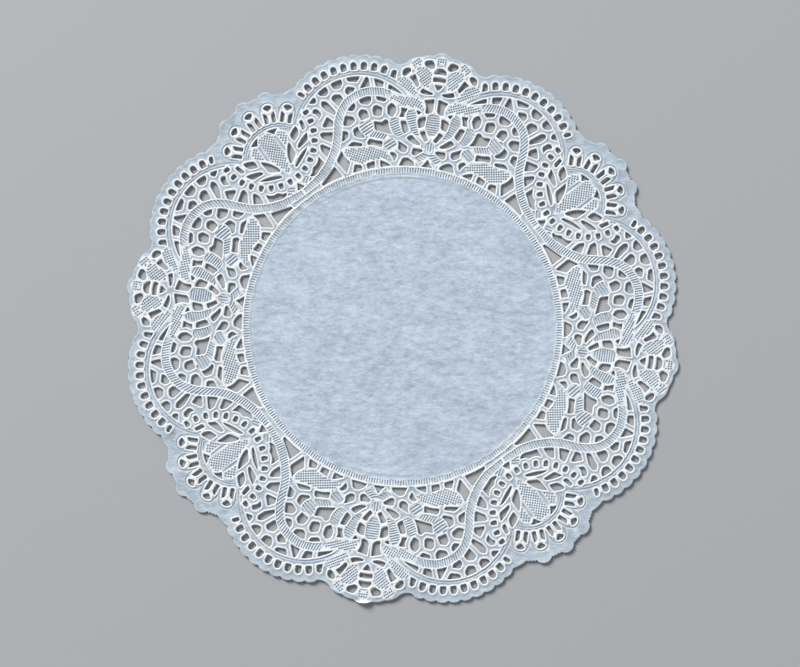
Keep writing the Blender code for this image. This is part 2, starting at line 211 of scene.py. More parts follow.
# Gaps cut to a shape of their own. Each corner: across, up, outward bow of the side after it
SHAPES = {
    "dome over body": ((2.35, 93.25, 0.75), (0, 95.6, 0.75), (-2.35, 93.25, -0.2)),
    "bar in body": (
        (2.4, 92.05, 0), (0, 92.3, 0), (-2.4, 92.05, 0), (-2.25, 90.4, -0.25), (2.25, 90.4, 0)),
    "heart in body": ((1.5, 89.4, 0), (-1.5, 89.4, 0.1), (0, 87.2, 0.1)),
    "by feeler": (
        (2.2, 95.95, 0), (3.35, 94.9, 0), (6.1, 96.0, 0), (6.35, 97.45, 0.15), (3.4, 98.15, 0)),
    "between wings": (
        (9.25, 92.35, 0), (7.1, 88.5, 0), (7.9, 87.55, 0), (10.0, 90.0, 0), (11.15, 90.8, 0)),
    "under wing": ((6.45, 86.0, 0.55), (1.6, 85.85, 0.1), (2.2, 86.35, -0.1), (5.75, 87.4, 0)),
    "by shoulder": ((12.2, 94.2, 0.5), (10.9, 93.15, 0), (12.45, 91.2, 0.5), (13.9, 92.2, 0.5)),
    "first eyelet": (
        (16.0, 89.45, 0), (18.2, 90.2, 0), (17.85, 91.6, 0.2), (17.4, 92.45, 0.6), (16.1, 91.75, 0),
        (16.2, 90.6, 0)),
    "last eyelet": (
        (48.0, 78.2, 0), (48.7, 77.2, 0), (50.0, 77.85, 0), (50.7, 78.0, 0.4), (49.9, 79.3, 0.1)),
    "pillar": ((0.8, 84.1, 0), (0.8, 79.4, 0), (2.3, 78.35, 0), (3.5, 78.55, -0.6), (4.45, 83.1, 0)),
    "palm foot": ((0, 61.6, -0.2), (-2.1, 58.8, 0), (2.1, 58.8, -0.2)),
    "palm toe": ((4.5, 58.7, 0), (10.2, 58.0, -0.1), (9.3, 60.8, 0), (7.5, 61.3, 0), (5.3, 60.1, 0)),
    "palm kite": ((11.3, 61.3, 0), (12.1, 59.3, -0.2), (14.2, 62.0, 0.1), (12.7, 62.5, 0)),
    "palm step": ((2.3, 64.4, 0), (5.0, 62.3, 0), (6.25, 62.9, 0), (6.0, 65.1, 0), (2.7, 65.1, 0)),
    "palm gusset": (
        (8.1, 65.2, 0), (8.35, 63.2, 0), (9.7, 62.9, 0.1), (11.5, 64.3, -0.3), (11.8, 66.9, 0)),
    "palm blade": ((3.6, 66.9, 0), (4.0, 66.4, 0.5), (8.85, 68.4, 0.2), (7.1, 69.75, -0.1)),
    "palm shin": ((10.1, 74.7, 0), (8.4, 71.2, 0), (10.05, 69.8, 0.15), (11.95, 74.3, 0)),
    "palm thorn": ((2.6, 71.95, -0.2), (0.9, 68.75, 0), (2.0, 67.95, 0), (4.35, 71.15, 0.1)),
    "palm cheek": ((2.9, 77.1, 0), (3.1, 73.5, 0), (5.1, 72.7, 0), (5.85, 75.7, 0.4)),
    "palm bud": ((4.8, 78.5, 0), (6.0, 77.55, 0), (6.8, 79.05, 0.1)),
    "palm waist": (
        (10.1, 79.15, 0), (10.8, 77.3, -0.1), (10.8, 76.0, 0), (12.7, 75.7, 0), (12.2, 77.3, -0.2),
        (12.6, 79.15, 0)),
    "net lantern": (
        (16.3, 80.45, 0), (14.6, 79.5, 0), (14.05, 77.6, 0), (15.15, 75.2, 0), (17.0, 76.1, 0),
        (17.55, 78.8, 0)),
    "net star": (
        (14.35, 68.9, 0), (20.8, 69.65, 0), (21.65, 72.7, 0), (18.75, 72.65, 0), (17.5, 74.15, 0),
        (16.35, 73.5, -0.4)),
    "net by bulb": (
        (24.9, 76.35, 0), (23.6, 73.9, 0), (25.0, 73.15, 0), (26.2, 72.25, 0), (27.8, 74.5, 0),
        (27.05, 76.35, 0)),
    "net under bulb": (
        (27.2, 69.9, -0.45), (24.15, 66.7, 0), (24.5, 65.9, 0), (27.8, 66.1, 0), (28.75, 68.4, 0)),
    "net over leaf": (
        (17.5, 65.9, 0), (17.3, 63.6, -0.3), (22.6, 63.8, 0), (22.85, 64.9, 0),
        (22.2, 66.15, -0.25)),
    "ring row 1": ((13.2, 57.5, 0), (16.7, 56.4, 0), (17.2, 58.75, 0.2)),
    "ring row 2": ((19.3, 58.2, 0), (18.7, 55.9, 0), (21.3, 55.0, 0), (22.0, 56.75, 0)),
    "ring row 3": ((23.7, 55.9, 0), (23.2, 54.2, 0), (26.3, 52.8, 0), (26.2, 55.8, 0)),
    "ring row 4": ((31.7, 60.1, -0.5), (28.0, 56.4, 0), (28.5, 52.2, 0), (32.95, 56.2, 0)),
    "ring row 5": ((33.5, 53.9, 0), (30.1, 50.75, -0.2), (36.6, 46.3, 0), (37.0, 46.9, 0)),
    "by picots 1": (
        (38.9, 71.65, 0), (36.4, 70.4, 0), (36.2, 68.6, 0), (39.6, 67.65, 0), (39.95, 68.3, 0)),
    "by picots 2": (
        (39.85, 56.75, 0), (37.35, 54.6, -0.15), (39.4, 50.2, 0.1), (41.3, 49.1, 0),
        (41.7, 49.4, -0.45), (41.25, 52.4, -0.75)),
    "over picots": (
        (41.0, 72.4, 0), (43.0, 74.0, 0), (44.4, 73.6, 0), (44.4, 72.2, -0.15), (42.9, 71.8, -0.2),
        (41.7, 70.4, 0)),
    "fan leaf 0": ((47.9, 69.3, 0), (46.05, 66.7, 0), (47.0, 65.6, 0), (48.85, 68.5, 0)),
    "fan leaf 1": ((49.8, 66.6, 0.3), (48.25, 63.6, 0), (49.45, 61.0, 0), (51.3, 62.8, 0.2)),
    "fan leaf 2": ((45.35, 64.9, 0), (44.55, 62.1, 0), (47.4, 58.7, 0), (47.9, 59.4, 0.3)),
    "fan leaf 3": ((44.4, 59.5, 0.35), (47.2, 51.7, 0), (47.6, 52.1, 0.6)),
    "fan leaf 4": ((51.4, 60.4, 0), (48.2, 56.8, 0), (49.1, 52.9, 0), (49.6, 52.8, 0.7)),
    "fan corner": ((56.4, 64.65, -0.2), (57.0, 62.2, -0.2), (60.0, 62.9, 0.2)),
    "fan root": ((43.2, 45.3, 0.1), (45.3, 43.2, 0), (46.0, 46.0, 0)),
}

# Small gaps that repeat along an arc, drawn as the first one stands: its foot towards the middle
EYELET = ((-1.03, -1.45, 0), (1.03, -1.45, 0), (1.08, 0.35, 1.05), (-1.08, 0.35, 0))
PICOT = ((-0.8, -1.1, 0), (0.8, -1.1, 0), (0.8, 0.35, 0.75), (-0.8, 0.35, 0))
LOOP_SLOT = ((0.7, 13.75, 0), (2.1, 13.75, 0), (2.1, 17.75, 0), (0.7, 16.85, 0))
LOOP_CAP = ((-1.65, 19.5, 0), (0, 18.05, 0), (1.65, 19.5, 0.85))


def polar(middle, radius, bearing):
    """Point at a radius and a bearing, clockwise from straight up."""
    turn = math.radians(bearing)
    return middle + radius * Vector((math.sin(turn), math.cos(turn)))


def arc(middle, radius, first, last, step=STEP):
    """Points along a circle from one bearing to another."""
    count = max(1, round(radius * math.radians(abs(last - first)) / step))
    return [polar(middle, radius, first + (last - first) * i / count) for i in range(count + 1)]


def spline(rows, count=6):
    """Smooth line through the rows."""
    points = [Vector(row) for row in rows]
    points = [points[0]] + points + [points[-1]]
    line = []
    for a, b, c, d in zip(points, points[1:], points[2:], points[3:]):
        for i in range(count):
            t = i / count
            line.append(0.5 * (2 * b + (c - a) * t + (2 * a - 5 * b + 4 * c - d) * t ** 2
                               + (3 * b - a - 3 * c + d) * t ** 3))
    return line + [points[-1]]


def picot_line():
    """Outer edge of the picot row: a round lobe for each picot."""
    line = []
    for i in range(PICOT_POINTS):
        past = PICOT_SWEEP * i / (PICOT_POINTS - 1)
        off = math.radians((past / PICOT_STEP) % 1 * PICOT_STEP - PICOT_STEP / 2)
        reach = PICOT_RADIUS * math.cos(off)
        reach += math.sqrt(PICOT_LOBE ** 2 - (PICOT_RADIUS * math.sin(off)) ** 2)
        line.append(polar(PICOT_MIDDLE, reach, PICOT_FIRST + past))
    return line


# Named lines that gaps run along, with half the width of the paper laid on each
LINES = {
    "band": (arc(BAND_MIDDLE, BAND_RADIUS, BAND_FROM, BAND_TO), 0.0),
    "tape": (spline(TAPE_LINE), TAPE),
    "picots": (picot_line(), 0.0),
    "leaf": (spline(LEAF_LINE), LEAF),
}


def stations(line):
    """Distance along a line of each of its points."""
    found = [0.0]
    for a, b in zip(line, line[1:]):
        found.append(found[-1] + (b - a).length)
    return found


STATIONS = {name: stations(line) for name, (line, half) in LINES.items()}


def nearest(name, point):
    """Distance along a named line, and the spot on it, nearest a point."""
    best = (math.inf, 0.0, point)
    line = LINES[name][0]
    for a, b, station in zip(line, line[1:], STATIONS[name]):
        t = max(0.0, min(1.0, (point - a).dot(b - a) / (b - a).length_squared))
        spot = a.lerp(b, t)
        found = ((spot - point).length, station + t * (b - a).length, spot)
        best = min(best, found, key=lambda row: row[0])
    return best[1], best[2]


def place_junctions():
    """Spot of every junction and its station on each line it lies on."""
    spots = {}
    for name, (across, up, lines) in JUNCTIONS.items():
        spot = Vector((across, up))
        on = {}
        for line in lines.split():
            on[line], found = nearest(line, spot)
            if len(on) == 1:
                spot = found
        spots[name] = (spot, on)
    return spots


SPOTS = place_junctions()


def beside(points, distance):
    """Line set off to the left of a line."""
    moved = []
    for i, point in enumerate(points):
        run = (points[min(i + 1, len(points) - 1)] - points[max(i - 1, 0)]).normalized()
        moved.append(point + distance * Vector((-run.y, run.x)))
    return moved


def side(start, end):
    """One side of a cell between two junctions, run on past both, set in by half its paper."""
    (a, on_a), (b, on_b) = SPOTS[start], SPOTS[end]
    shared = [name for name in on_a if name in on_b]
    if shared:
        line, half = LINES[shared[0]]
        first, last = on_a[shared[0]], on_b[shared[0]]
        low, high = min(first, last) - OVERRUN, max(first, last) + OVERRUN
        points = [p for p, station in zip(line, STATIONS[shared[0]]) if low < station < high]
        if first > last:
            points.reverse()
    else:
        half = BAR
        on = (b - a).normalized() * OVERRUN
        points = [a - on, b + on]
    return beside(points, half)


def meet(one, other, near):
    """Where two open lines cross nearest a point, with the place on each."""
    best = None
    for i, (a, b) in enumerate(zip(one, one[1:])):
        for j, (c, d) in enumerate(zip(other, other[1:])):
            across = (b - a).cross(d - c)
            if abs(across) < TINY:
                continue
            t = (c - a).cross(d - c) / across
            u = (c - a).cross(b - a) / across
            if -TINY <= t <= 1 + TINY and -TINY <= u <= 1 + TINY:
                spot = a.lerp(b, t)
                far = (spot - near).length
                if best is None or far < best[0]:
                    best = (far, spot, i + t, j + u)
    return best


def area(points):
    """Area inside a closed row of points, above zero when it runs anticlockwise."""
    return 0.5 * sum(a.cross(b) for a, b in zip(points, points[1:] + points[:1]))


def thinned(points, step):
    """Line with points nearer than a step to the last one kept left out, but for its ends."""
    kept = [points[0]]
    for point in points[1:-1]:
        if (point - kept[-1]).length > step and (point - points[-1]).length > step / 2:
            kept.append(point)
    return kept + [points[-1]]


def cell_sides(names):
    """Sides of the gap inside the bars and lines that join a ring of junctions."""
    if area([SPOTS[name][0] for name in names]) < 0:
        names = names[::-1]
    count = len(names)
    lines = [side(names[i], names[(i + 1) % count]) for i in range(count)]
    corners = [meet(lines[i - 1], lines[i], SPOTS[names[i]][0]) for i in range(count)]
    sides = []
    for i in range(count):
        start, end = corners[i], corners[(i + 1) % count]
        inner = lines[i][math.ceil(start[3] + CORNER_SHARE):math.floor(end[2] - CORNER_SHARE) + 1]
        sides.append(thinned([start[1]] + inner + [end[1]], CELL_STEP))
    return sides


def bowed(a, b, bow):
    """Round side from one corner to the next that bows out to the right."""
    if abs(bow) < LEAST_BOW:
        return [a, b]
    run = b - a
    ahead = run.normalized()
    out = Vector((ahead.y, -ahead.x)) * math.copysign(1.0, bow)
    radius = (run.length_squared / 4 + bow ** 2) / (2 * abs(bow))
    half = math.asin(min(1.0, run.length / 2 / radius))
    middle = (a + b) / 2 + out * (abs(bow) - radius)
    count = max(2, math.ceil(2 * half * radius / STEP))
    inner = []
    for i in range(1, count):
        turn = half * (2 * i / count - 1)
        inner.append(middle + radius * (math.sin(turn) * ahead + math.cos(turn) * out))
    return [a] + inner + [b]


def shape_sides(rows):
    """Sides of a shape from its corners and the bows between them."""
    if area([Vector(row[:2]) for row in rows]) < 0:
        rows = [(*rows[i][:2], rows[i - 1][2]) for i in range(len(rows) - 1, -1, -1)]
    pairs = zip(rows, rows[1:] + rows[:1])
    return [bowed(Vector(row[:2]), Vector(after[:2]), row[2]) for row, after in pairs]


def trimmed(line, first, last):
    """Line with a length cut off each end."""
    marks = stations(line)
    ends = []
    for mark in (first, marks[-1] - last):
        i = max(k for k in range(len(line) - 1) if marks[k] <= mark + TINY)
        ends.append(line[i].lerp(line[i + 1], (mark - marks[i]) / (marks[i + 1] - marks[i])))
    low, high = first + END_ROOM, marks[-1] - last - END_ROOM
    inner = [point for point, mark in zip(line, marks) if low < mark < high]
    return [ends[0]] + inner + [ends[1]]


def rounded(sides):
    """Closed row of points round the sides, each sharp corner cut back and a sharper one curved."""
    count = len(sides)
    lengths = [stations(line)[-1] for line in sides]
    cuts, turns = [], []
    for i in range(count):
        before, after = sides[i - 1], sides[i]
        turns.append((before[-1] - before[-2]).angle(after[1] - after[0]))
        cut = min(CORNER, CORNER_PART * lengths[i - 1], CORNER_PART * lengths[i])
        cuts.append(cut if turns[i] > LEAST_TURN else 0.0)
    lines = [trimmed(sides[i], cuts[i], cuts[(i + 1) % count]) for i in range(count)]
    points = []
    for i in range(count):
        if turns[i] > ROUND_TURN:
            points.append(0.25 * lines[i - 1][-1] + 0.5 * sides[i][0] + 0.25 * lines[i][0])
        points += lines[i] if cuts[(i + 1) % count] else lines[i][:-1]
    return points


def placed(rows, middle, radius, bearing):
    """Rows of a shape moved out from a middle along a bearing, and turned with it."""
    turn = math.radians(bearing)
    ahead = Vector((math.sin(turn), math.cos(turn)))
    right = Vector((ahead.y, -ahead.x))
    return [(*(middle + right * across + ahead * (radius + up)), bow) for across, up, bow in rows]


def mirrored(rows):
    """Rows of a straight-sided shape flipped across."""
    return [(-across, up, bow) for across, up, bow in rows]


def gap_loops():
    """Every gap of the eighth, its corners rounded."""
    shapes = list(SHAPES.values())
    for k in range(EYELET_COUNT):
        bearing = EYELET_FIRST + EYELET_STEP * k
        shapes.append(placed(EYELET, SCALLOP_MIDDLE, EYELET_RADIUS, bearing))
    for k in range(PICOT_COUNT):
        bearing = PICOT_FIRST + PICOT_STEP * (k + 0.5)
        shapes.append(placed(PICOT, PICOT_MIDDLE, PICOT_RADIUS, bearing))
    for bearing in LOOP_BEARINGS:
        for rows in (mirrored(LOOP_SLOT)[::-1], LOOP_SLOT, LOOP_CAP):
            shapes.append(placed(rows, FAN_MIDDLE, 0, bearing))
    loops = [rounded(cell_sides(names.split())) for names in CELLS.values()]
    loops += [rounded(shape_sides(rows)) for rows in shapes]
    return loops


def edge_line():
    """Outer edge of the eighth, run on past both of its axes."""
    joints = [(Vector((-BUTTERFLY_JOINTS[0][0], BUTTERFLY_JOINTS[0][1])), BROW_RISE)]
    joints += [(Vector((across, up)), rise) for across, up, rise in BUTTERFLY_JOINTS]
    for k in range(SCALLOP_COUNT):
        spot = polar(SCALLOP_MIDDLE, SCALLOP_RADIUS, SCALLOP_FIRST + SCALLOP_STEP * k)
        joints.append((spot, SCALLOP_RISE if k + 1 < SCALLOP_COUNT else LAST_SCALLOP_RISE))
    for bearing, rise in FAN_JOINTS:
        joints.append((polar(FAN_MIDDLE, FAN_RADIUS, bearing), rise))
    joints.append((joints[-1][0].yx, 0.0))
    line = []
    for (a, rise), (b, after) in zip(joints, joints[1:]):
        line += bowed(a, b, -rise)[:-1]
    return line + [joints[-1][0]]


GAPS = gap_loops()
EDGE = edge_line()

# Raised pattern: heights over the plain paper, and distances on it from the line of each form
RIM_LIP = 0.05          # the punch turns a rim up round each gap: height at the cut edge
RIM_CREST = 0.28        # height of its crest
CREST_AT = 0.36         # from the cut edge to its crest
FOOT_AT = 0.92          # and to its foot
EDGE_LIP = 0.03         # the same four for the rim of the outer edge
EDGE_CREST = 0.10
EDGE_CREST_AT = 0.4
EDGE_FOOT_AT = 0.9
CORD = 0.24             # height of a raised cord
FAINT_CORD = 0.11       # height of the fainter cords inside the ring, by the band and in the fan
MOTIF_CORD = 0.18       # height of the cord round a motif
CORD_HALF = 0.34        # half the width of a cord
GROOVE = 0.08           # depth of a groove pressed between cords
GROOVE_HALF = 0.3       # half its width
GROOVE_OFF_GAP = 0.35   # nearest that it comes to a gap
RIB = 0.17              # height of a rib of a motif
HOLLOW = 0.11           # depth pressed between ribs
WEAVE = 0.20            # height of a woven thread
EYE = 0.19              # depth of the eye between threads
FILL_OFF_CORD = 0.1     # from a motif's cord to where its ribs or threads begin
FILL_TALL_OFF_CORD = 0.4    # and to where they are at full height
FILL_OFF_GAP = 0.4      # and the same from a gap
FILL_TALL_OFF_GAP = 0.58
ROW_RIB = 0.19          # height of a rib of the tape and the ring
ROW_HOLLOW = 0.08       # depth pressed between these
ROW_HALF = 0.2          # half the width of either

# Motifs drawn by a cord and filled with ribs or a weave. Each: fill, angle of its ribs or
# threads (the middle of ribs that run in arcs), their pitch, a spot in a hollow, then corners as
# above
MOTIFS = {
    "head": ("weave", 0, 0.88, (0.44, 98.1), (
        (1.7, 96.6, 0.1), (2.35, 98.3, 0.3), (0, 100.1, 0.3), (-2.35, 98.3, 0.1),
        (-1.7, 96.6, -0.35))),
    "wing": ("weave", 45, 0.89, (5.81, 91.6), (
        (3.0, 94.3, 0), (2.95, 89.8, 0.1), (3.5, 87.7, 0), (6.5, 88.2, 0), (9.0, 93.1, 0.3),
        (8.2, 95.1, 0.25), (5.9, 95.5, 0))),
    "wing tip": ("weave", 48, 0.95, (9.27, 96.1), (
        (7.0, 95.9, 0), (8.7, 95.2, 0.1), (9.8, 93.8, 0), (11.3, 95.3, 0.4), (9.9, 98.0, 0.3),
        (7.1, 98.5, 0))),
    "lower wing": ("weave", 29, 0.88, (11.76, 87.54), (
        (6.9, 85.3, 0), (8.3, 87.1, 0), (10.3, 89.5, 0.1), (12.6, 90.9, 0.3), (15.3, 89.8, 0.5),
        (14.4, 87.5, 0.2), (11.0, 84.9, 0.2), (8.2, 84.3, 0.3))),
    "pod": ("weave", 21, 0.88, (10.42, 81.96), (
        (5.0, 82.4, 0.2), (4.5, 80.4, 0.2), (5.6, 79.6, 0), (9.8, 79.7, -0.1), (14.0, 80.4, 0.1),
        (16.3, 81.5, 0.2), (16.6, 84.0, 0), (12.7, 83.4, 0), (7.0, 83.9, 0.2))),
    "palm heart": ("ribs", 0, 0.88, (0, 74.39), (
        (0, 69.3, 0.3), (2.45, 73.0, 0.15), (2.4, 77.2, 0.35), (0, 79.2, 0.35), (-2.4, 77.2, 0.15),
        (-2.45, 73.0, 0.3))),
    "palm petal": ("ribs", -20.5, 0.88, (7.71, 74.97), (
        (3.5, 68.6, 0), (6.9, 70.3, 0.1), (8.0, 71.6, 0.1), (9.9, 75.2, 0.15), (10.0, 77.6, 0.4),
        (8.4, 79.2, 0.4), (6.7, 77.8, 0), (6.1, 75.1, 0), (5.2, 71.9, 0))),
    "palm flank": ("ribs", -31, 0.89, (13.47, 72.11), (
        (10.2, 69.4, 0), (12.6, 68.2, 0), (14.1, 69.6, 0.1), (15.9, 73.0, 0.3), (15.2, 75.0, 0.3),
        (12.6, 75.1, 0), (12.0, 72.6, 0.1))),
    "palm bulb": ("ribs", 90, 1.0, (0.5, 66.3), (
        (0, 68.3, 0.4), (-1.95, 66.3, 0.4), (0, 64.3, 0.4), (1.95, 66.3, 0.4))),
    "palm skirt": ("arcs", (0, 67.5), 0.92, (0, 63.8), (
        (-2.1, 63.9, 0.1), (-4.95, 61.7, 0.2), (-3.3, 59.5, -0.1), (0, 62.3, -0.1), (3.3, 59.5, 0.2),
        (4.95, 61.7, 0.1), (2.1, 63.9, -0.3))),
    "bulb": ("ribs", -41, 1.11, (14.5, 65.25), (
        (11.95, 65.2, 0.65), (14.2, 62.9, 0.65), (16.9, 64.8, 0.65), (14.6, 67.6, 0.65))),
    "scroll": ("ribs", -65, 0.89, (19.59, 67.93), (
        (15.4, 67.6, 0), (17.5, 66.4, -0.2), (22.1, 66.6, 0), (23.5, 67.3, 0), (21.2, 69.3, 0.1),
        (16.6, 69.0, 0))),
    "great bulb": ("ribs", -42, 1.12, (24.06, 70.2), (
        (21.1, 69.9, 0.55), (24.0, 67.0, 0.5), (27.0, 69.8, 0.6), (24.8, 73.0, 0.4),
        (22.2, 72.4, 0.35))),
    "great leaf": ("weave", 9.5, 0.87, (23.02, 60.33), (
        (13.6, 60.7, 0.2), (16.0, 59.2, 0), (18.5, 59.1, 0.2), (20.8, 58.0, -0.1), (22.8, 56.6, 0.4),
        (28.1, 56.9, 0.3), (31.2, 60.6, 0.1), (30.9, 61.5, -0.2), (24.7, 62.3, 0.1), (22.6, 63.1, 0.2),
        (17.6, 63.0, 0.2))),
    "fan collar": ("ribs", -76, 0.96, (42.6, 47.4), (
        (40.6, 48.6, 0), (41.9, 46.2, 0), (44.0, 46.3, 0.1), (44.3, 48.2, 0.1), (43.0, 49.3, 0.1))),
    "tulip": ("weave", 0, 0.87, (55.91, 55.91), (
        (48.7, 48.7, 0), (49.9, 52.2, 0), (51.9, 56.2, 0), (57.0, 61.0, 0.3), (59.1, 62.5, 0.6),
        (62.5, 59.1, 0.3), (61.0, 57.0, 0), (56.2, 51.9, 0), (52.2, 49.9, 0))),
    "tulip side": ("weave", 0, 0.92, (53.54, 62.52), (
        (52.0, 60.6, 0), (52.2, 58.6, 0), (56.2, 62.2, 0), (55.9, 63.7, 0.3), (53.9, 64.4, 0.2),
        (52.0, 62.9, 0))),
}

# Ribbed ring round the plain middle: radius of its two cords, and of the ends of its ribs
RING_INNER = 55.95
RING_OUTER = 58.3
RING_RIBS = 47          # in the eighth
RING_RIBS_PAST = 1      # more of them past each axis
RING_FROM = 56.4
RING_TO = 57.85

# Arcs raised or pressed beside the gaps: middle, radius, first and last bearing
CORD_ARCS = (
    (BAND_MIDDLE, BAND_RADIUS + CREST_AT, -44, 92),
    (ORIGIN, RING_OUTER, -3, 48),
)
FAINT_CORD_ARCS = (
    (ORIGIN, RING_INNER, -3, 48),
    (BAND_MIDDLE, 23.55, -36, 92),
    (BAND_MIDDLE, 24.65, -31, 92),
    (FAN_MIDDLE, 13.45, -10, 50),
    (FAN_MIDDLE, 12.65, -12, 50),
    (FAN_MIDDLE, 11.8, -8, 50),
)
GROOVE_ARCS = (
    (BAND_MIDDLE, 23.05, -38, 92),
    (BAND_MIDDLE, 24.1, -34, 92),
    (FAN_MIDDLE, 13.05, -10, 50),
    (FAN_MIDDLE, 12.2, -10, 50),
)

# Arch round each loop of the fan, a groove with a cord outside it
ARCH_GROOVE = 3.0       # half the width of each
ARCH_CORD = 3.36
ARCH_FOOT = 14.1        # from the fan's middle to the feet of its legs
ARCH_MIDDLE = 18.3      # and to the middle of the arc on top
ARCH_TURN = 85          # from straight up to either end of that arc
ARCH_LEG = 4            # steps up a leg

# Cords and grooves of the tulip, which run beside the fan's axis
TULIP_CORDS = (2.75, 3.4)       # distance off the axis
TULIP_GROOVES = (3.07, 3.72)
TULIP_FROM = 54.3               # how far across each of them starts and ends
TULIP_TO = 59.2
SLIT = ((52.25, 65.1), (53.075, 65.1), (53.9, 65.1))    # a short groove over the tulip's side

# Ribs of the tape. Each: distance along its middle line, ribs up to there, their angle there
TAPE_RIBS = (
    (9.0, -0.4, 60), (11.0, 1.1, 63), (13.0, 3.0, 70), (15.0, 5.1, 74), (17.0, 7.35, 73),
    (21.0, 11.9, 68), (25.0, 16.25, 61), (29.0, 20.1, 54), (33.0, 23.3, 49), (37.0, 26.05, 43.5),
    (41.0, 28.9, 37), (45.0, 32.35, 33.5), (49.0, 36.45, 34), (53.0, 40.85, 36), (57.0, 45.4, 33.5),
    (61.0, 49.9, 30), (64.3, 53.5, 45),
)
TAPE_RIB_FROM = 8.9     # distance along its middle line where its ribs and cords start
TAPE_RIB_INSET = 0.3    # from a cord of the tape to the end of its ribs
TAPE_LEAST_SLANT = 0.5  # least sine of a rib's angle to the tape
TAPE_TAPER_FROM = 57.0  # where the tape starts to narrow
TAPE_TAPER_TO = 64.3    # and where it crosses the fan's axis
TAPE_END = 1.08         # half the distance between its cords there
CORD_STEP = 1.3         # longest straight piece of a straight side of a motif


def arch(half):
    """Round arch over a loop of the fan, its legs straight, as it stands over the fan's middle."""
    rise = [ARCH_FOOT + STEP * i for i in range(ARCH_LEG + 1)]
    line = [Vector((-half, up)) for up in rise]
    line += arc(Vector((0, ARCH_MIDDLE)), half, -ARCH_TURN, ARCH_TURN)
    return line + [Vector((half, up)) for up in reversed(rise)]


def turned(line, middle, bearing):
    """Line turned about a middle by a bearing, and moved there."""
    turn = math.radians(bearing)
    ahead = Vector((math.sin(turn), math.cos(turn)))
    right = Vector((ahead.y, -ahead.x))
    return [middle + right * point.x + ahead * point.y for point in line]


def tape_half(mark):
    """Half the distance between the cords of the tape."""
    return float(np.interp(mark, (TAPE_TAPER_FROM, TAPE_TAPER_TO), (TAPE - CREST_AT, TAPE_END)))


def shown_tape():
    """Middle line of the tape from where its ribs start, with the distance along it."""
    marks = [mark for mark in STATIONS["tape"] if mark > TAPE_RIB_FROM]
    return LINES["tape"][0][-len(marks):], marks


def cord_lines():
    """Raised lines, fainter ones, and lines pressed between them."""
    cords = [arc(*row) for row in CORD_ARCS]
    faint = [arc(*row) for row in FAINT_CORD_ARCS]
    grooves = [arc(*row) for row in GROOVE_ARCS]
    line, marks = shown_tape()
    left = beside(line, 1)
    for hand in (-1, 1):
        rows = zip(line, marks, left)
        cords.append([point + hand * tape_half(mark) * (off - point) for point, mark, off in rows])
    for bearing in LOOP_BEARINGS:
        faint.append(turned(arch(ARCH_CORD), FAN_MIDDLE, bearing))
        grooves.append(turned(arch(ARCH_GROOVE), FAN_MIDDLE, bearing))
    count = round((TULIP_TO - TULIP_FROM) / STEP)
    reaches = [TULIP_FROM + (TULIP_TO - TULIP_FROM) * i / count for i in range(count + 1)]
    for offs, lines in ((TULIP_CORDS, faint), (TULIP_GROOVES, grooves)):
        for off in offs:
            aside = Vector((-off, off)) / math.sqrt(2)
            lines.append([Vector((reach, reach)) + aside for reach in reaches])
    grooves.append([Vector(point) for point in SLIT])
    return cords, faint, grooves


def split(line):
    """Straight side with points a step apart."""
    a, b = line
    count = math.ceil((b - a).length / CORD_STEP)
    return [a.lerp(b, i / count) for i in range(count + 1)]


def motif_loops():
    """Closed cord of each motif."""
    loops = {}
    for name, row in MOTIFS.items():
        sides = [line if len(line) > 2 else split(line) for line in shape_sides(row[4])]
        loops[name] = [point for line in sides for point in line[:-1]]
    return loops


CORDS, FAINT_CORDS, GROOVES = cord_lines()
MOTIF_CORDS = motif_loops()
POINTS_AT_ONCE = 800    # points measured together, to save memory


def pieces(lines, closed):
    """Straight pieces of many lines, as two arrays of end points."""
    starts, ends = [], []
    for line in lines:
        starts += line if closed else line[:-1]
        ends += line[1:] + line[:1] if closed else line[1:]
    return np.array([p[:] for p in starts]), np.array([p[:] for p in ends])


def off_pieces(points, where):
    """Distance of each point from the nearest of many straight pieces."""
    starts, ends = where
    run = ends - starts
    long = np.maximum((run ** 2).sum(1), TINY)
    found = []
    for some in np.array_split(points, max(1, len(points) // POINTS_AT_ONCE)):
        from_start = some[:, None, :] - starts
        t = np.clip((from_start * run).sum(2) / long, 0, 1)
        found.append(np.sqrt(((from_start - t[..., None] * run) ** 2).sum(2)).min(1))
    return np.concatenate(found)


def within(points, loop):
    """Which points lie inside a closed loop."""
    inside = np.zeros(len(points), bool)
    x, y = points[:, 0], points[:, 1]
    for a, b in zip(loop, loop[1:] + loop[:1]):
        if a.y != b.y:
            spans = (a.y > y) != (b.y > y)
            inside ^= spans & (x < a.x + (b.x - a.x) * (y - a.y) / (b.y - a.y))
    return inside


GAP_PIECES = pieces(GAPS, True)
EDGE_PIECES = pieces([EDGE], False)
CORD_PIECES = pieces(CORDS, False)
FAINT_PIECES = pieces(FAINT_CORDS, False)
GROOVE_PIECES = pieces(GROOVES, False)


def ease(values, low, high):
    """Share of the way from low to high, eased at both ends."""
    t = np.clip((values - low) / (high - low), 0, 1)
    return t * t * (3 - 2 * t)


def rib_height(off, pitch):
    """Height of ribs at a distance from the middle of a hollow, from 0 in a hollow to 1."""
    return 0.5 - 0.5 * np.cos(math.tau * off / pitch)


def fill_height(kind, angle, pitch, hollow, points):
    """Height of a motif's ribs or weave at each point, from 0 in a hollow to 1."""
    off = points - np.array(hollow)
    if kind == "arcs":
        far = np.sqrt(((points - np.array(angle)) ** 2).sum(1))
        return rib_height(far - math.dist(hollow, angle), pitch)
    turn = math.radians(angle)
    across = rib_height(off @ np.array((-math.sin(turn), math.cos(turn))), pitch)
    if kind == "ribs":
        return across
    return np.maximum(across, rib_height(off @ np.array((math.cos(turn), math.sin(turn))), pitch))


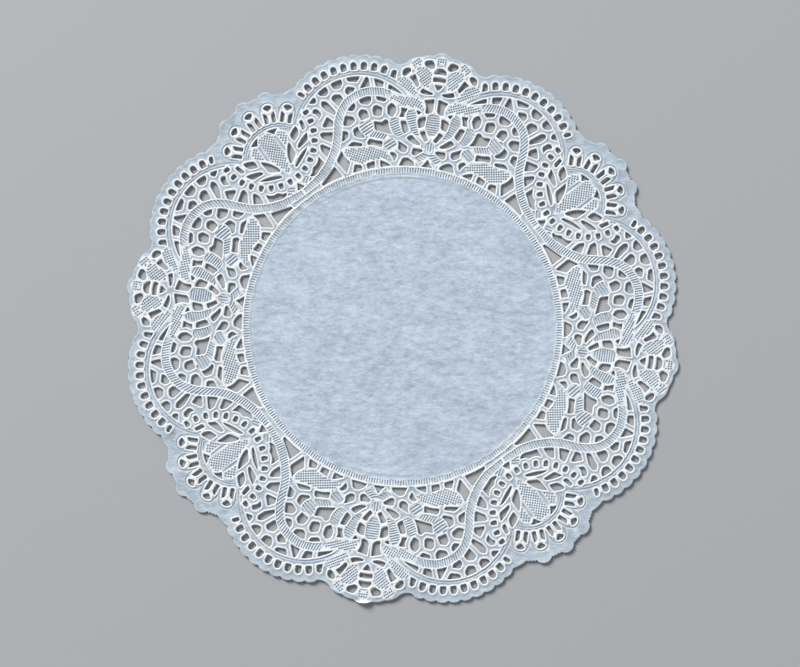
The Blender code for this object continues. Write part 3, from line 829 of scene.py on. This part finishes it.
def tape_ribs():
    """Lines on the tape, two to a pitch: crests and hollows of its ribs in turn."""
    line, marks = LINES["tape"][0], STATIONS["tape"]
    along, counts, angles = zip(*TAPE_RIBS)
    lines = []
    for k in range(int(2 * counts[-1]) + 1):
        mark = float(np.interp(k / 2, counts, along))
        if not TAPE_RIB_FROM < mark < marks[-1]:
            continue
        i = max(n for n in range(len(marks) - 1) if marks[n] <= mark)
        spot = line[i].lerp(line[i + 1], (mark - marks[i]) / (marks[i + 1] - marks[i]))
        run = (line[i + 1] - line[i]).normalized()
        turn = math.radians(np.interp(mark, along, angles))
        rib = Vector((math.cos(turn), math.sin(turn)))
        reach = (tape_half(mark) - TAPE_RIB_INSET) / max(TAPE_LEAST_SLANT, abs(run.cross(rib)))
        lines.append((spot - rib * reach, spot + rib * reach, k % 2))
    return lines


def ring_ribs():
    """Lines on the ring, two to a pitch: hollows and crests of its ribs in turn."""
    lines = []
    for k in range(-2 * RING_RIBS_PAST, 2 * (RING_RIBS + RING_RIBS_PAST) + 1):
        bearing = EIGHTH * k / (2 * RING_RIBS)
        lines.append((polar(ORIGIN, RING_FROM, bearing), polar(ORIGIN, RING_TO, bearing), k % 2))
    return lines


RIB_LINES = tape_ribs() + ring_ribs()


def ridge(off, half):
    """Share of a ridge's height: all of it on its line, none from half its width away."""
    return np.clip(1 - off / half, 0, 1)


def raised(height, top, off, half):
    """Heights with a ridge laid over them."""
    share = ridge(off, half)
    return np.where(share > 0, np.maximum(height, top * share), height)


def relief(points):
    """Height over the plain paper of every point of the chart."""
    off_gap = off_pieces(points, GAP_PIECES)
    height = np.interp(off_gap, (0, CREST_AT, FOOT_AT), (RIM_LIP, RIM_CREST, 0))
    off_edge = off_pieces(points, EDGE_PIECES)
    rim = np.interp(off_edge, (0, EDGE_CREST_AT, EDGE_FOOT_AT), (EDGE_LIP, EDGE_CREST, 0))
    height = np.maximum(height, rim)
    height = raised(height, CORD, off_pieces(points, CORD_PIECES), CORD_HALF)
    height = raised(height, FAINT_CORD, off_pieces(points, FAINT_PIECES), CORD_HALF)
    clear = ease(off_gap, GROOVE_OFF_GAP, FILL_TALL_OFF_GAP)
    height -= GROOVE * clear * ridge(off_pieces(points, GROOVE_PIECES), GROOVE_HALF)
    for name, row in MOTIFS.items():
        loop = MOTIF_CORDS[name]
        off_loop = off_pieces(points, pieces([loop], True))
        inside = within(points, loop)
        height = raised(height, MOTIF_CORD, off_loop, CORD_HALF)
        tall, deep = (WEAVE, EYE) if row[0] == "weave" else (RIB, HOLLOW)
        fill = (tall + deep) * fill_height(*row[:4], points) - deep
        share = ease(off_loop, FILL_OFF_CORD, FILL_TALL_OFF_CORD)
        share = share * ease(off_gap, FILL_OFF_GAP, FILL_TALL_OFF_GAP) * inside
        height = height * (1 - share) + fill * share
    for up in (0, 1):
        lines = [[a, b] for a, b, high in RIB_LINES if high == up]
        off_rib = off_pieces(points, pieces(lines, False))
        if up:
            height = raised(height, ROW_RIB, off_rib, ROW_HALF)
        else:
            height = -raised(-height, ROW_HOLLOW, off_rib, ROW_HALF)
    return height


# Points and lines that the mesh of the eighth runs through, and how near they lie to each other
ROOM = 0.24             # nearest that two points may lie
RIB_ROOM = 0.2          # nearest at the end of a rib of the tape or the ring
FOOT_ROOM = 0.42        # nearest along the foot of a cord
FOOT_STEP = 0.75        # shortest step along the foot of a rim
CORD_FOOT = 0.42        # from the middle of a cord to the plain paper beside it
OFF_RIM = 0.05          # how much nearer to a gap than its rim's crest that crest's points may lie
OFF_CREST = 0.1         # how far off that crest other lines keep
OFF_FOOT = 0.12         # how much nearer than its foot the foot's points may lie
EDGE_OFF_GAP = 0.25     # nearest to a gap that the outer edge's crest keeps its points
EDGE_FOOT_OFF_GAP = 0.5     # and its foot
ROW_OFF_GAP = 0.5       # and a rib of the tape or the ring
EYE_OFF_CORD = 0.3      # nearest that the middle of an eye lies to its motif's cord
EYE_OFF_GAP = 0.66      # and to a gap
CREST_OFF_CORD = 0.08   # nearest that the crest of a rib comes to its motif's cord
HOLLOW_OFF_CORD = 0.3   # and a hollow between ribs
HOLLOW_OFF_GAP = 0.58   # and to a gap
RIB_STEP = 1.5          # step along a rib
LEAST_RIB = 0.5         # shortest stretch of a rib
FINE_STEP = 0.1         # step at which a rib is tried against its motif's cord
LEAST_ARC = 1.0         # smallest radius of a rib that runs in an arc
ARC_RIBS = (-12, 24)    # first and last of them, counted from the hollow
ARC_FROM = 90           # bearings where they start and end
ARC_TO = 270
LEAST_LEAN = 0.6        # cosine of half the sharpest turn at which a corner moves out in full
REACH = 112.0           # how far across and up the axes run, past the edge
INSIDE = 1              # asks for the triangles that the lines close in
SAME_SPOT = 1e-5        # points nearer than this are one
ON_AXIS = 1e-3          # points nearer than this to an axis are moved onto it

# Rings of points on the plain middle, closer near the creases: radius, step along it
PLAIN_FIRST = 41.2      # radius of the first of the evenly spaced ones
PLAIN_STEP = 3.4
PLAIN_COUNT = 12
PLAIN_RINGS = [
    (55.45, 1.15), (55.0, 1.15), (54.55, 1.15), (54.1, 1.15), (53.65, 1.3), (52.8, 1.7),
    (51.6, 2.0), (49.8, 2.2), (47.4, 2.6), (44.4, 3.0),
]
PLAIN_RINGS += [(PLAIN_FIRST - PLAIN_STEP * i, PLAIN_STEP) for i in range(PLAIN_COUNT)]

spots = []
links = []
filled = {}


def pin(point, room, join):
    """Adds a point to the chart; one too near is left out, or joined to the nearest there."""
    cell = (math.floor(point.x / ROOM), math.floor(point.y / ROOM))
    near = []
    for i in (-1, 0, 1):
        for j in (-1, 0, 1):
            near += filled.get((cell[0] + i, cell[1] + j), [])
    near = [n for n in near if (spots[n] - point).length < room]
    if near:
        return min(near, key=lambda n: (spots[n] - point).length) if join else None
    filled.setdefault(cell, []).append(len(spots))
    spots.append(point)
    return len(spots) - 1


def link(places, closed):
    """Joins pinned points that follow each other, past those that were left out."""
    for a, b in zip(places, places[1:] + places[:closed]):
        if a is not None and b is not None and a != b:
            links.append((a, b))


def lay(line, closed=False, room=ROOM, off_gap=0.0, join=False, keep=None):
    """Adds a line to the chart but for its points too near a gap, too near others or not kept."""
    flat = np.array([p[:] for p in line])
    clear = off_pieces(flat, GAP_PIECES) >= off_gap if off_gap else np.full(len(flat), True)
    if keep:
        clear &= keep(flat)
    link([pin(point, room, join) if fits else None for point, fits in zip(line, clear)], closed)


def grown(loop, distance):
    """Closed loop moved out all round."""
    moved = []
    for i, point in enumerate(loop):
        before = (point - loop[i - 1]).normalized()
        after = (loop[(i + 1) % len(loop)] - point).normalized()
        out = (Vector((before.y, -before.x)) + Vector((after.y, -after.x))).normalized()
        lean = max(LEAST_LEAN, out.dot(Vector((after.y, -after.x))))
        moved.append(point + out * distance / lean)
    return moved


def rib_lines(kind, angle, pitch, hollow, reach):
    """Lines that a motif's ribs run along, two to a pitch, each with whether it is a crest."""
    lines = []
    hollow = Vector(hollow)
    if kind == "arcs":
        middle = Vector(angle)
        for k in range(*ARC_RIBS):
            radius = (hollow - middle).length + k * pitch / 2
            if radius > LEAST_ARC:
                lines.append((arc(middle, radius, ARC_FROM, ARC_TO, FINE_STEP), k % 2))
        return lines
    turn = math.radians(angle)
    along = Vector((math.cos(turn), math.sin(turn)))
    across = Vector((-along.y, along.x))
    count = 2 * math.ceil(reach / pitch)
    steps = int(reach / FINE_STEP)
    for k in range(-count, count + 1):
        spot = hollow + across * k * pitch / 2
        lines.append(([spot + along * FINE_STEP * i for i in range(-steps, steps + 1)], k % 2))
    return lines


def runs(line, keep):
    """Stretches of a rib that are kept and not too short, with points about a step apart."""
    found = []
    start = None
    for i in range(len(line) + 1):
        if i < len(line) and keep[i]:
            start = i if start is None else start
        elif start is not None:
            part = line[start:i]
            long = stations(part)[-1]
            if long >= LEAST_RIB:
                count = max(1, round(long / RIB_STEP))
                found.append([part[round(k * (len(part) - 1) / count)] for k in range(count + 1)])
            start = None
    return found


def inside_motif(points, loop, off_cord, off_gap):
    """Which points lie inside a motif and clear of its cord and of the gaps."""
    flat = np.array([p[:] for p in points])
    keep = within(flat, loop)
    for where, off in ((pieces([loop], True), off_cord), (GAP_PIECES, off_gap)):
        if keep.any():
            keep[keep] = off_pieces(flat[keep], where) > off
    return keep


def lay_weave(angle, pitch, hollow, loop, reach):
    """Lays the eyes of a woven motif, each with the four crossings of threads round it."""
    turn = math.radians(angle)
    along = pitch * Vector((math.cos(turn), math.sin(turn)))
    across = Vector((-along.y, along.x))
    steps = range(-math.ceil(reach / pitch), math.ceil(reach / pitch) + 1)
    cells = [(i, k) for i in steps for k in steps]
    eyes = [Vector(hollow) + along * i + across * k for i, k in cells]
    fits = inside_motif(eyes, loop, EYE_OFF_CORD, EYE_OFF_GAP)
    shown = [(cell, eye) for cell, eye, fit in zip(cells, eyes, fits) if fit]
    square = ((0, 0), (1, 0), (1, 1), (0, 1))
    crossings = {}
    for (i, k), eye in shown:
        for a, b in square:
            if (i + a, k + b) not in crossings:
                spot = eye + along * (a - 0.5) + across * (b - 0.5)
                clear = off_pieces(np.array([spot[:]]), GAP_PIECES)[0] > CREST_AT
                crossings[i + a, k + b] = pin(spot, ROOM, True) if clear else None
    for (i, k), eye in shown:
        link([crossings[i + a, k + b] for a, b in square], True)
        pin(eye, ROOM, False)


def lay_motif(name):
    """Lays the lines of one motif's fill."""
    kind, angle, pitch, hollow, rows = MOTIFS[name]
    loop = MOTIF_CORDS[name]
    reach = max((point - Vector(hollow)).length for point in loop)
    if kind == "weave":
        lay_weave(angle, pitch, hollow, loop, reach)
        return
    for line, crest in rib_lines(kind, angle, pitch, hollow, reach):
        clear = (CREST_OFF_CORD, CREST_AT) if crest else (HOLLOW_OFF_CORD, HOLLOW_OFF_GAP)
        for part in runs(line, inside_motif(line, loop, *clear)):
            lay(part, join=bool(crest))


def plain(points):
    """Which points lie off the motifs and off the ribs of the tape and the ring."""
    far = np.hypot(points[:, 0], points[:, 1])
    keep = (far < RING_INNER) | (far > RING_OUTER)
    keep &= off_pieces(points, pieces([shown_tape()[0]], False)) > TAPE - CREST_AT - OFF_CREST
    for loop in MOTIF_CORDS.values():
        keep &= ~within(points, loop)
    return keep


for gap in GAPS:
    lay(gap, closed=True, room=0)
lay(EDGE, room=0)
lay([Vector((0, REACH)), ORIGIN, Vector((REACH, REACH))], room=0)
for gap in GAPS:
    lay(grown(gap, CREST_AT), closed=True, off_gap=CREST_AT - OFF_RIM)
lay(beside(EDGE, -EDGE_CREST_AT), off_gap=EDGE_OFF_GAP)
for line in CORDS + FAINT_CORDS:
    lay(line, off_gap=CREST_AT + OFF_CREST, join=True)
for loop in MOTIF_CORDS.values():
    lay(loop, closed=True, off_gap=CREST_AT + OFF_CREST, join=True)
for line in GROOVES:
    lay(line, off_gap=CREST_AT + OFF_CREST)
for a, b, high in RIB_LINES:
    lay([a, b], off_gap=ROW_OFF_GAP, room=RIB_ROOM)
for name in MOTIFS:
    lay_motif(name)
for gap in GAPS:
    foot = thinned(grown(gap, FOOT_AT), FOOT_STEP)
    lay(foot, closed=True, off_gap=FOOT_AT - OFF_FOOT, keep=plain)
for line in CORDS + FAINT_CORDS:
    for off in (-CORD_FOOT, CORD_FOOT):
        lay(beside(line, off), room=FOOT_ROOM, off_gap=FOOT_AT - OFF_FOOT, keep=plain)
lay(beside(EDGE, -EDGE_FOOT_AT), room=FOOT_ROOM, off_gap=EDGE_FOOT_OFF_GAP)
for radius, step in PLAIN_RINGS:
    lay(arc(ORIGIN, radius, 0, EIGHTH, step))


def eighth():
    """Mesh of the eighth, its pattern raised, with each point's height kept as an attribute."""
    points, _, faces, _, _, _ = delaunay_2d_cdt(spots, links, [], INSIDE, SAME_SPOT)
    flat = np.array([point[:] for point in points])
    on_butterfly = np.abs(flat[:, 0]) < ON_AXIS
    flat[on_butterfly, 0] = 0
    on_fan = np.abs(flat[:, 0] - flat[:, 1]) < ON_AXIS
    flat[on_fan] = flat[on_fan].mean(1)[:, None]
    faces = np.array(faces)
    middles = flat[faces].mean(1)
    keep = (middles[:, 0] > 0) & (middles[:, 1] > middles[:, 0])
    keep &= within(middles, EDGE + [ORIGIN])
    for gap in GAPS:
        keep &= ~within(middles, gap)
    used, faces = np.unique(faces[keep], return_inverse=True)
    height = relief(flat[used])
    mesh = bpy.data.meshes.new("doily_eighth")
    corners = np.column_stack([flat[used], height]) * MM
    mesh.from_pydata(corners.tolist(), [], faces.reshape(-1, 3).tolist())
    # The material paints a highlight and shade on the paper from this height.
    kept = mesh.attributes.new("relief", "FLOAT", "POINT")
    kept.data.foreach_set("value", height / RIM_CREST)
    return mesh


# Inputs of the node tree that makes the sheet, lengths in metres
SHEET = {
    "Repeats": ("Int", 4),
    "Thickness": ("Float", 0.00016),
    "Weld": ("Float", 0.00001),                     # points nearer than this are merged
    "Wave Height": ("Float", 0.0008),               # soft wave that the sheet lies in
    "Wave Length": ("Float", 0.075),
    "Wave Detail": ("Float", 1.0),
    "Middle Wave": ("Float", 0.2),                  # share of its height on the plain middle
    "Flat Radius": ("Float", 0.05),                 # where it starts to grow, and where it is full
    "Edge Radius": ("Float", 0.1),
    "Seed": ("Float", 7.0),
    "Crease Angle": ("Float", math.radians(35)),    # sharpest bend that is still smooth
}


def add_node(tree, kind, values=None, **settings):
    """Adds a node to a tree, with its settings, and with a value or a wire for its inputs."""
    node = tree.nodes.new(kind)
    for key, value in settings.items():
        setattr(node, key, value)
    for key, value in (values or {}).items():
        if isinstance(value, bpy.types.NodeSocket):
            tree.links.new(value, node.inputs[key])
        else:
            node.inputs[key].default_value = value
    return node


def repeat_tree(inputs):
    """Geometry nodes that mirror and repeat the eighth, wave the sheet and give it thickness."""
    tree = bpy.data.node_groups.new("doily_repeat", "GeometryNodeTree")
    tree.interface.new_socket("Geometry", in_out="OUTPUT", socket_type="NodeSocketGeometry")
    tree.interface.new_socket("Geometry", in_out="INPUT", socket_type="NodeSocketGeometry")
    for name, (kind, value) in inputs.items():
        tree.interface.new_socket(name, in_out="INPUT", socket_type="NodeSocket" + kind)

    def add(kind, values=None, **settings):
        return add_node(tree, kind, values, **settings).outputs

    given = add("NodeGroupInput")
    flipped = add("GeometryNodeTransform", {"Geometry": given["Geometry"], "Scale": (-1, 1, 1)})
    other = add("GeometryNodeFlipFaces", {"Mesh": flipped[0]})
    repeat = add_node(tree, "GeometryNodeJoinGeometry")
    tree.links.new(given["Geometry"], repeat.inputs[0])
    tree.links.new(other[0], repeat.inputs[0])
    points = add("GeometryNodePoints", {"Count": given["Repeats"]})
    step = add("ShaderNodeMath", {0: math.tau, 1: given["Repeats"]}, operation="DIVIDE")
    index = add("GeometryNodeInputIndex")
    turn = add("ShaderNodeMath", {0: index[0], 1: step[0]}, operation="MULTIPLY")
    angle = add("ShaderNodeCombineXYZ", {"Z": turn[0]})
    rotation = add("FunctionNodeEulerToRotation", {0: angle[0]})
    copies = add("GeometryNodeInstanceOnPoints", {
        "Points": points[0], "Instance": repeat.outputs[0], "Rotation": rotation[0]})
    whole = add("GeometryNodeRealizeInstances", {"Geometry": copies[0]})
    welded = add("GeometryNodeMergeByDistance", {"Geometry": whole[0], "Distance": given["Weld"]})

    position = add("GeometryNodeInputPosition")
    density = add("ShaderNodeMath", {0: 1.0, 1: given["Wave Length"]}, operation="DIVIDE")
    noise = add("ShaderNodeTexNoise", {
        "Vector": position[0], "W": given["Seed"], "Scale": density[0],
        "Detail": given["Wave Detail"]}, noise_dimensions="4D")
    radius = add("ShaderNodeVectorMath", {0: position[0]}, operation="LENGTH")
    share = add("ShaderNodeMapRange", {
        "Value": radius["Value"], "From Min": given["Flat Radius"],
        "From Max": given["Edge Radius"], "To Min": given["Middle Wave"], "To Max": 1.0})
    waved = add("ShaderNodeMath", {0: noise[0], 1: share[0]}, operation="MULTIPLY")
    lift = add("ShaderNodeMath", {
        0: waved[0], 1: given["Wave Height"], 2: given["Thickness"]}, operation="MULTIPLY_ADD")
    up = add("ShaderNodeCombineXYZ", {"Z": lift[0]})
    top = add("GeometryNodeSetPosition", {"Geometry": welded[0], "Offset": up[0]})

    under = add("GeometryNodeFlipFaces", {"Mesh": top[0]})
    down = add("ShaderNodeVectorMath", {0: (0, 0, -1), 3: given["Thickness"]}, operation="SCALE")
    body = add("GeometryNodeExtrudeMesh", {
        "Mesh": under[0], "Offset": down[0], "Individual": False})
    flat_sides = add("FunctionNodeBooleanMath", {0: body["Side"]}, operation="NOT")
    smooth_body = add("GeometryNodeSetShadeSmooth", {
        "Geometry": body["Mesh"], "Shade Smooth": flat_sides[0]})
    smooth_top = add("GeometryNodeSetShadeSmooth", {"Geometry": top[0]})
    closed = add_node(tree, "GeometryNodeJoinGeometry")
    tree.links.new(smooth_body[0], closed.inputs[0])
    tree.links.new(smooth_top[0], closed.inputs[0])
    sheet = add("GeometryNodeMergeByDistance", {
        "Geometry": closed.outputs[0], "Distance": given["Weld"]})
    bend = add("GeometryNodeInputMeshEdgeAngle")
    soft = add("ShaderNodeMath", {0: bend[0], 1: given["Crease Angle"]}, operation="LESS_THAN")
    pressed = add("GeometryNodeSetShadeSmooth", {
        "Geometry": sheet[0], "Shade Smooth": soft[0]}, domain="EDGE")
    real = add("GeometryNodeRealizeInstances", {"Geometry": pressed[0]})
    paper = add("GeometryNodeSetMaterial", {"Geometry": real[0], "Material": given["Material"]})
    add("NodeGroupOutput", {0: paper[0]})
    return tree


# Linear colours of the paper, its painted highlight and painted shade, and where and how it takes them
PAINTED_HOLLOW_SHADE = (0.28, 0.32, 0.36, 1)    # painted shade in the pressed-in hollows
PAPER_THIN = (0.335, 0.415, 0.51, 1)    # plain, where its fibres lie thin
PAPER_THICK = (0.665, 0.75, 0.855, 1)   # and where they lie thick
# painted highlight on raised rims, cords and ribs
PAINTED_CREST_HIGHLIGHT = (0.92, 0.94, 0.94, 1)
PRESSED_TINT = (0.96, 0.955, 0.925, 1)  # laid over the plain paper of the lace
PRESSED_FROM = 0.0555   # radius in metres where the lace begins
PRESSED_WIDTH = 0.002
HIGHLIGHT_FROM = 0.12      # height, as a share of a rim's, where the painted highlight starts
HIGHLIGHT_TO = 0.9
DARKEST_SHADE_DEPTH = -0.45       # depth, as such a share, where the painted shade is darkest
CLOUD_STRETCH = (1.3, 0.55, 1.0)
CLOUD_TURN = math.radians(8.45)         # how far the clouds lie turned
CLOUD_DENSITY = 300.0   # clouds of fibres to a metre, broader patches, and single fibres
PATCH_DENSITY = 70.0
FIBRE_DENSITY = 1500.0
CLOUD_DETAIL = 9.0
CLOUD_ROUGHNESS = 0.85
FIBRE_DETAIL = 3.0
PATCH_SHARE = 0.18
FIBRE_SHARE = 0.12
CLOUD_LOW = 0.39        # noise that counts as thin, and as thick
CLOUD_HIGH = 0.60
FIBRE_STRENGTH = 0.25
FIBRE_HEIGHT = 0.0002
PAPER_ROUGHNESS = 0.85
PAPER_SHINE = 0.25


def paper_material():
    """White tissue paper, cloudy with fibres, matt, with a painted highlight where it is raised and
    painted shade where it is pressed in.
    """
    material = bpy.data.materials.new("paper")
    material.use_nodes = True
    tree = material.node_tree

    def add(kind, values=None, **settings):
        return add_node(tree, kind, values, **settings).outputs

    def blend(share, first, second, **settings):
        values = {"Factor": share, "A": first, "B": second}
        return add("ShaderNodeMix", values, **settings)["Result"]

    place = add("ShaderNodeTexCoord")["Object"]
    streak = add("ShaderNodeMapping", {
        "Vector": place, "Rotation": (0, 0, CLOUD_TURN), "Scale": CLOUD_STRETCH},
        vector_type="TEXTURE")["Vector"]
    clouds = add("ShaderNodeTexNoise", {
        "Vector": streak, "Scale": CLOUD_DENSITY, "Detail": CLOUD_DETAIL,
        "Roughness": CLOUD_ROUGHNESS})["Fac"]
    patches = add("ShaderNodeTexNoise", {"Vector": streak, "Scale": PATCH_DENSITY})["Fac"]
    fibres = add("ShaderNodeTexNoise", {
        "Vector": streak, "Scale": FIBRE_DENSITY, "Detail": FIBRE_DETAIL})["Fac"]
    cloudy = blend(FIBRE_SHARE, blend(PATCH_SHARE, clouds, patches), fibres)
    thickness = add("ShaderNodeMapRange", {
        "Value": cloudy, "From Min": CLOUD_LOW, "From Max": CLOUD_HIGH})["Result"]
    plain_paper = blend(thickness, PAPER_THIN, PAPER_THICK, data_type="RGBA")

    radius = add("ShaderNodeVectorMath", {0: place}, operation="LENGTH")["Value"]
    lace = add("ShaderNodeMapRange", {
        "Value": radius, "From Min": PRESSED_FROM, "From Max": PRESSED_FROM + PRESSED_WIDTH})
    pressed = blend(
        lace["Result"], plain_paper, PRESSED_TINT, data_type="RGBA", blend_type="MULTIPLY")
    height = add("ShaderNodeAttribute", attribute_name="relief")["Fac"]
    # Painted highlight: the higher the paper is raised, the whiter its colour.
    painted_light = add("ShaderNodeMapRange", {
        "Value": height, "From Min": HIGHLIGHT_FROM, "From Max": HIGHLIGHT_TO},
        interpolation_type="SMOOTHSTEP")["Result"]
    # Painted shade: the deeper a hollow is pressed, the darker its colour.
    depth = add("ShaderNodeMapRange", {
        "Value": height, "From Min": 0.0, "From Max": DARKEST_SHADE_DEPTH})["Result"]
    highlighted = blend(painted_light, pressed, PAINTED_CREST_HIGHLIGHT, data_type="RGBA")
    colour = blend(depth, highlighted, PAINTED_HOLLOW_SHADE, data_type="RGBA")
    bump = add("ShaderNodeBump", {
        "Height": fibres, "Strength": FIBRE_STRENGTH, "Distance": FIBRE_HEIGHT})["Normal"]

    shader = tree.nodes["Principled BSDF"].inputs
    shader["Roughness"].default_value = PAPER_ROUGHNESS
    shader["Specular IOR Level"].default_value = PAPER_SHINE
    tree.links.new(colour, shader["Base Color"])
    tree.links.new(bump, shader["Normal"])
    return material


# Creases beside the ring. Each: radius of its crest, then bearings along it with the height
# there, below zero in a trough
CREASE_HALF = 0.45      # half the width of a crease
CREASES = (
    (55.0, (
        (-54, 0), (-49, 0.06), (-42, 0.1), (-37, 0.06), (-30, 0.07), (-22, 0.12), (-16, 0.1),
        (-12, 0.15), (-8, 0.22), (-4, 0.2), (1, 0.11), (6, 0.12), (12, 0.05), (17, 0))),
    (54.1, (
        (-47, 0), (-40, -0.04), (-34, -0.03), (-26, -0.05), (-16, -0.04), (-6, -0.05), (3, -0.02),
        (9, -0.03), (14, 0))),
    (54.55, ((63.5, 0), (66, 0.1), (69, 0.15), (71.5, 0.08), (73, 0))),
    (54.1, (
        (160, 0), (164, 0.04), (168, 0.1), (173, 0.08), (177, 0.13), (182, 0.1), (187, 0.12),
        (192, 0.07), (195, 0))),
)

# Brow of the third butterfly, curled up by handling
CURL = ((2.7, -100.05), (-2.7, -100.85))    # ends of the line that it bends along
CURL_RADIUS = 0.12
CURL_TURN = math.radians(60)
CURL_FULL = 2.9         # how far from the middle of that line it starts to die out
CURL_END = 3.3


def crease_height(flat, radius, rows):
    """Height of one crease at each point: a ridge along a circle, as high as its rows say."""
    bearings, heights = zip(*rows)
    bearing = np.degrees(np.arctan2(flat[:, 0], flat[:, 1]))
    bearing[bearing < bearings[0]] += 360
    off = np.abs(np.hypot(flat[:, 0], flat[:, 1]) - radius)
    return np.interp(bearing, bearings, heights) * ridge(off, CREASE_HALF)


def curl_brow(corners, painted_light):
    """Curls the brow of the third butterfly up, and paints a highlight on it as bright as on a raised
    part.
    """
    start, end = np.array(CURL)
    run = (end - start) / np.linalg.norm(end - start)
    out = np.array((-run[1], run[0]))
    past = (corners[:, :2] / MM - start) @ out
    aside = np.abs((corners[:, :2] / MM - (start + end) / 2) @ run)
    lifted = (past > 0) & (aside < CURL_END)
    past, aside = past[lifted], aside[lifted]
    level = corners[lifted, 2].min()
    own = (corners[lifted, 2] - level) / MM
    angle = np.minimum(past / CURL_RADIUS, CURL_TURN * (1 - ease(aside, CURL_FULL, CURL_END)))
    straight = past - CURL_RADIUS * angle
    reach = (CURL_RADIUS - own) * np.sin(angle) + straight * np.cos(angle)
    rise = CURL_RADIUS - (CURL_RADIUS - own) * np.cos(angle) + straight * np.sin(angle)
    corners[lifted, :2] += MM * (reach - past)[:, None] * out
    corners[lifted, 2] = level + MM * rise
    # Painted highlight on the curled brow.
    painted_light[lifted] = np.maximum(painted_light[lifted], ease(angle, 0, CURL_TURN))


def soft_creases(mesh):
    """Raises the creases that handling left, paints a highlight on their ridges and shade in their
    troughs, and sets the sheet down on its lowest point.
    """
    corners = np.empty(3 * len(mesh.vertices))
    mesh.vertices.foreach_get("co", corners)
    corners = corners.reshape(-1, 3)
    flat = corners[:, :2] / MM
    painted_light = np.empty(len(mesh.vertices))
    kept = mesh.attributes["relief"].data
    kept.foreach_get("value", painted_light)
    for radius, rows in CREASES:
        height = crease_height(flat, radius, rows)
        corners[:, 2] += MM * height
        # Painted light along the creases: a highlight on each ridge and painted shade in each trough.
        painted_light += height / RIM_CREST
    curl_brow(corners, painted_light)
    kept.foreach_set("value", painted_light)
    corners[:, 2] -= corners[:, 2].min()
    mesh.vertices.foreach_set("co", corners.ravel())
    mesh.update()


doily = bpy.data.objects.new("paper_doily", eighth())
bpy.context.scene.collection.objects.link(doily)
SHEET["Material"] = ("Material", paper_material())
repeat = doily.modifiers.new("repeat", "NODES")
repeat.node_group = repeat_tree(SHEET)
for socket in repeat.node_group.interface.items_tree:
    if socket.name in SHEET:
        repeat[socket.identifier] = SHEET[socket.name][1]
evaluated = doily.evaluated_get(bpy.context.evaluated_depsgraph_get())
eighth_mesh = doily.data
doily.data = bpy.data.meshes.new_from_object(evaluated)
doily.modifiers.clear()
bpy.data.meshes.remove(eighth_mesh)
doily.data.name = "paper_doily"
soft_creases(doily.data)
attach(doily, "root")
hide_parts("doily")

# Floor, light and camera
# A plain pale floor, one large soft light from above left with a weaker one opposite, and a
# camera nearly straight above, as the photo was taken.
FLOOR = 3.0             # half its width
FLOOR_DROP = -0.0002
FLOOR_COLOUR = (0.43, 0.44, 0.45, 1)
FLOOR_ROUGHNESS = 0.9
SKY_COLOUR = (0.93, 0.96, 1.0, 1)
SKY_STRENGTH = 0.25

# name, spot, width, power
LIGHTS = (
    ("key", (-2.48, 2.48, 1.92), 1.4, 236.0),
    ("fill", (1.4, -0.6, 1.2), 1.6, 3.2),
)
VIEW_TURN = math.radians(8.45)      # from +Y to the top of the picture
VIEW_TILT = math.radians(2.5)       # how far the camera leans from straight above
VIEW_SIDE = math.radians(-0.75)
VIEW_DISTANCE = 0.4054
AIM = (-0.0012, -0.0028)            # right and up in the picture, from the doily's middle
LENS = 50
SENSOR = 36

corners = [(-FLOOR, -FLOOR, 0), (FLOOR, -FLOOR, 0), (FLOOR, FLOOR, 0), (-FLOOR, FLOOR, 0)]
floor_mesh = bpy.data.meshes.new("floor")
floor_mesh.from_pydata(corners, [], [(0, 1, 2, 3)])
floor = bpy.data.objects.new("floor", floor_mesh)
floor.location.z = FLOOR_DROP
bpy.context.scene.collection.objects.link(floor)
grey = bpy.data.materials.new("floor")
grey.use_nodes = True
grey_shader = grey.node_tree.nodes["Principled BSDF"].inputs
grey_shader["Base Color"].default_value = FLOOR_COLOUR
grey_shader["Roughness"].default_value = FLOOR_ROUGHNESS
floor_mesh.materials.append(grey)

bpy.context.scene.view_settings.view_transform = "Standard"
world = bpy.data.worlds.new("studio")
world.use_nodes = True
world.node_tree.nodes["Background"].inputs["Color"].default_value = SKY_COLOUR
world.node_tree.nodes["Background"].inputs["Strength"].default_value = SKY_STRENGTH
bpy.context.scene.world = world
for name, spot, size, power in LIGHTS:
    lamp = bpy.data.lights.new(name, "AREA")
    lamp.size = size
    lamp.energy = power
    light = bpy.data.objects.new(name, lamp)
    light.location = spot
    light.rotation_euler = (-Vector(spot)).to_track_quat("-Z", "Y").to_euler()
    bpy.context.scene.collection.objects.link(light)

up = Vector((-math.sin(VIEW_TURN), math.cos(VIEW_TURN), 0))
right = Vector((up.y, -up.x, 0))
aim = right * AIM[0] + up * AIM[1]
back = Vector((0, 0, 1)) - math.tan(VIEW_TILT) * up + math.tan(VIEW_SIDE) * right
back.normalize()
right = up.cross(back).normalized()
turn = Matrix((right, back.cross(right), back)).transposed()
lens = bpy.data.cameras.new("camera")
lens.lens = LENS
lens.sensor_width = SENSOR
camera = bpy.data.objects.new("camera", lens)
camera.matrix_world = Matrix.Translation(aim + back * VIEW_DISTANCE) @ turn.to_4x4()
bpy.context.scene.collection.objects.link(camera)
bpy.context.scene.camera = camera
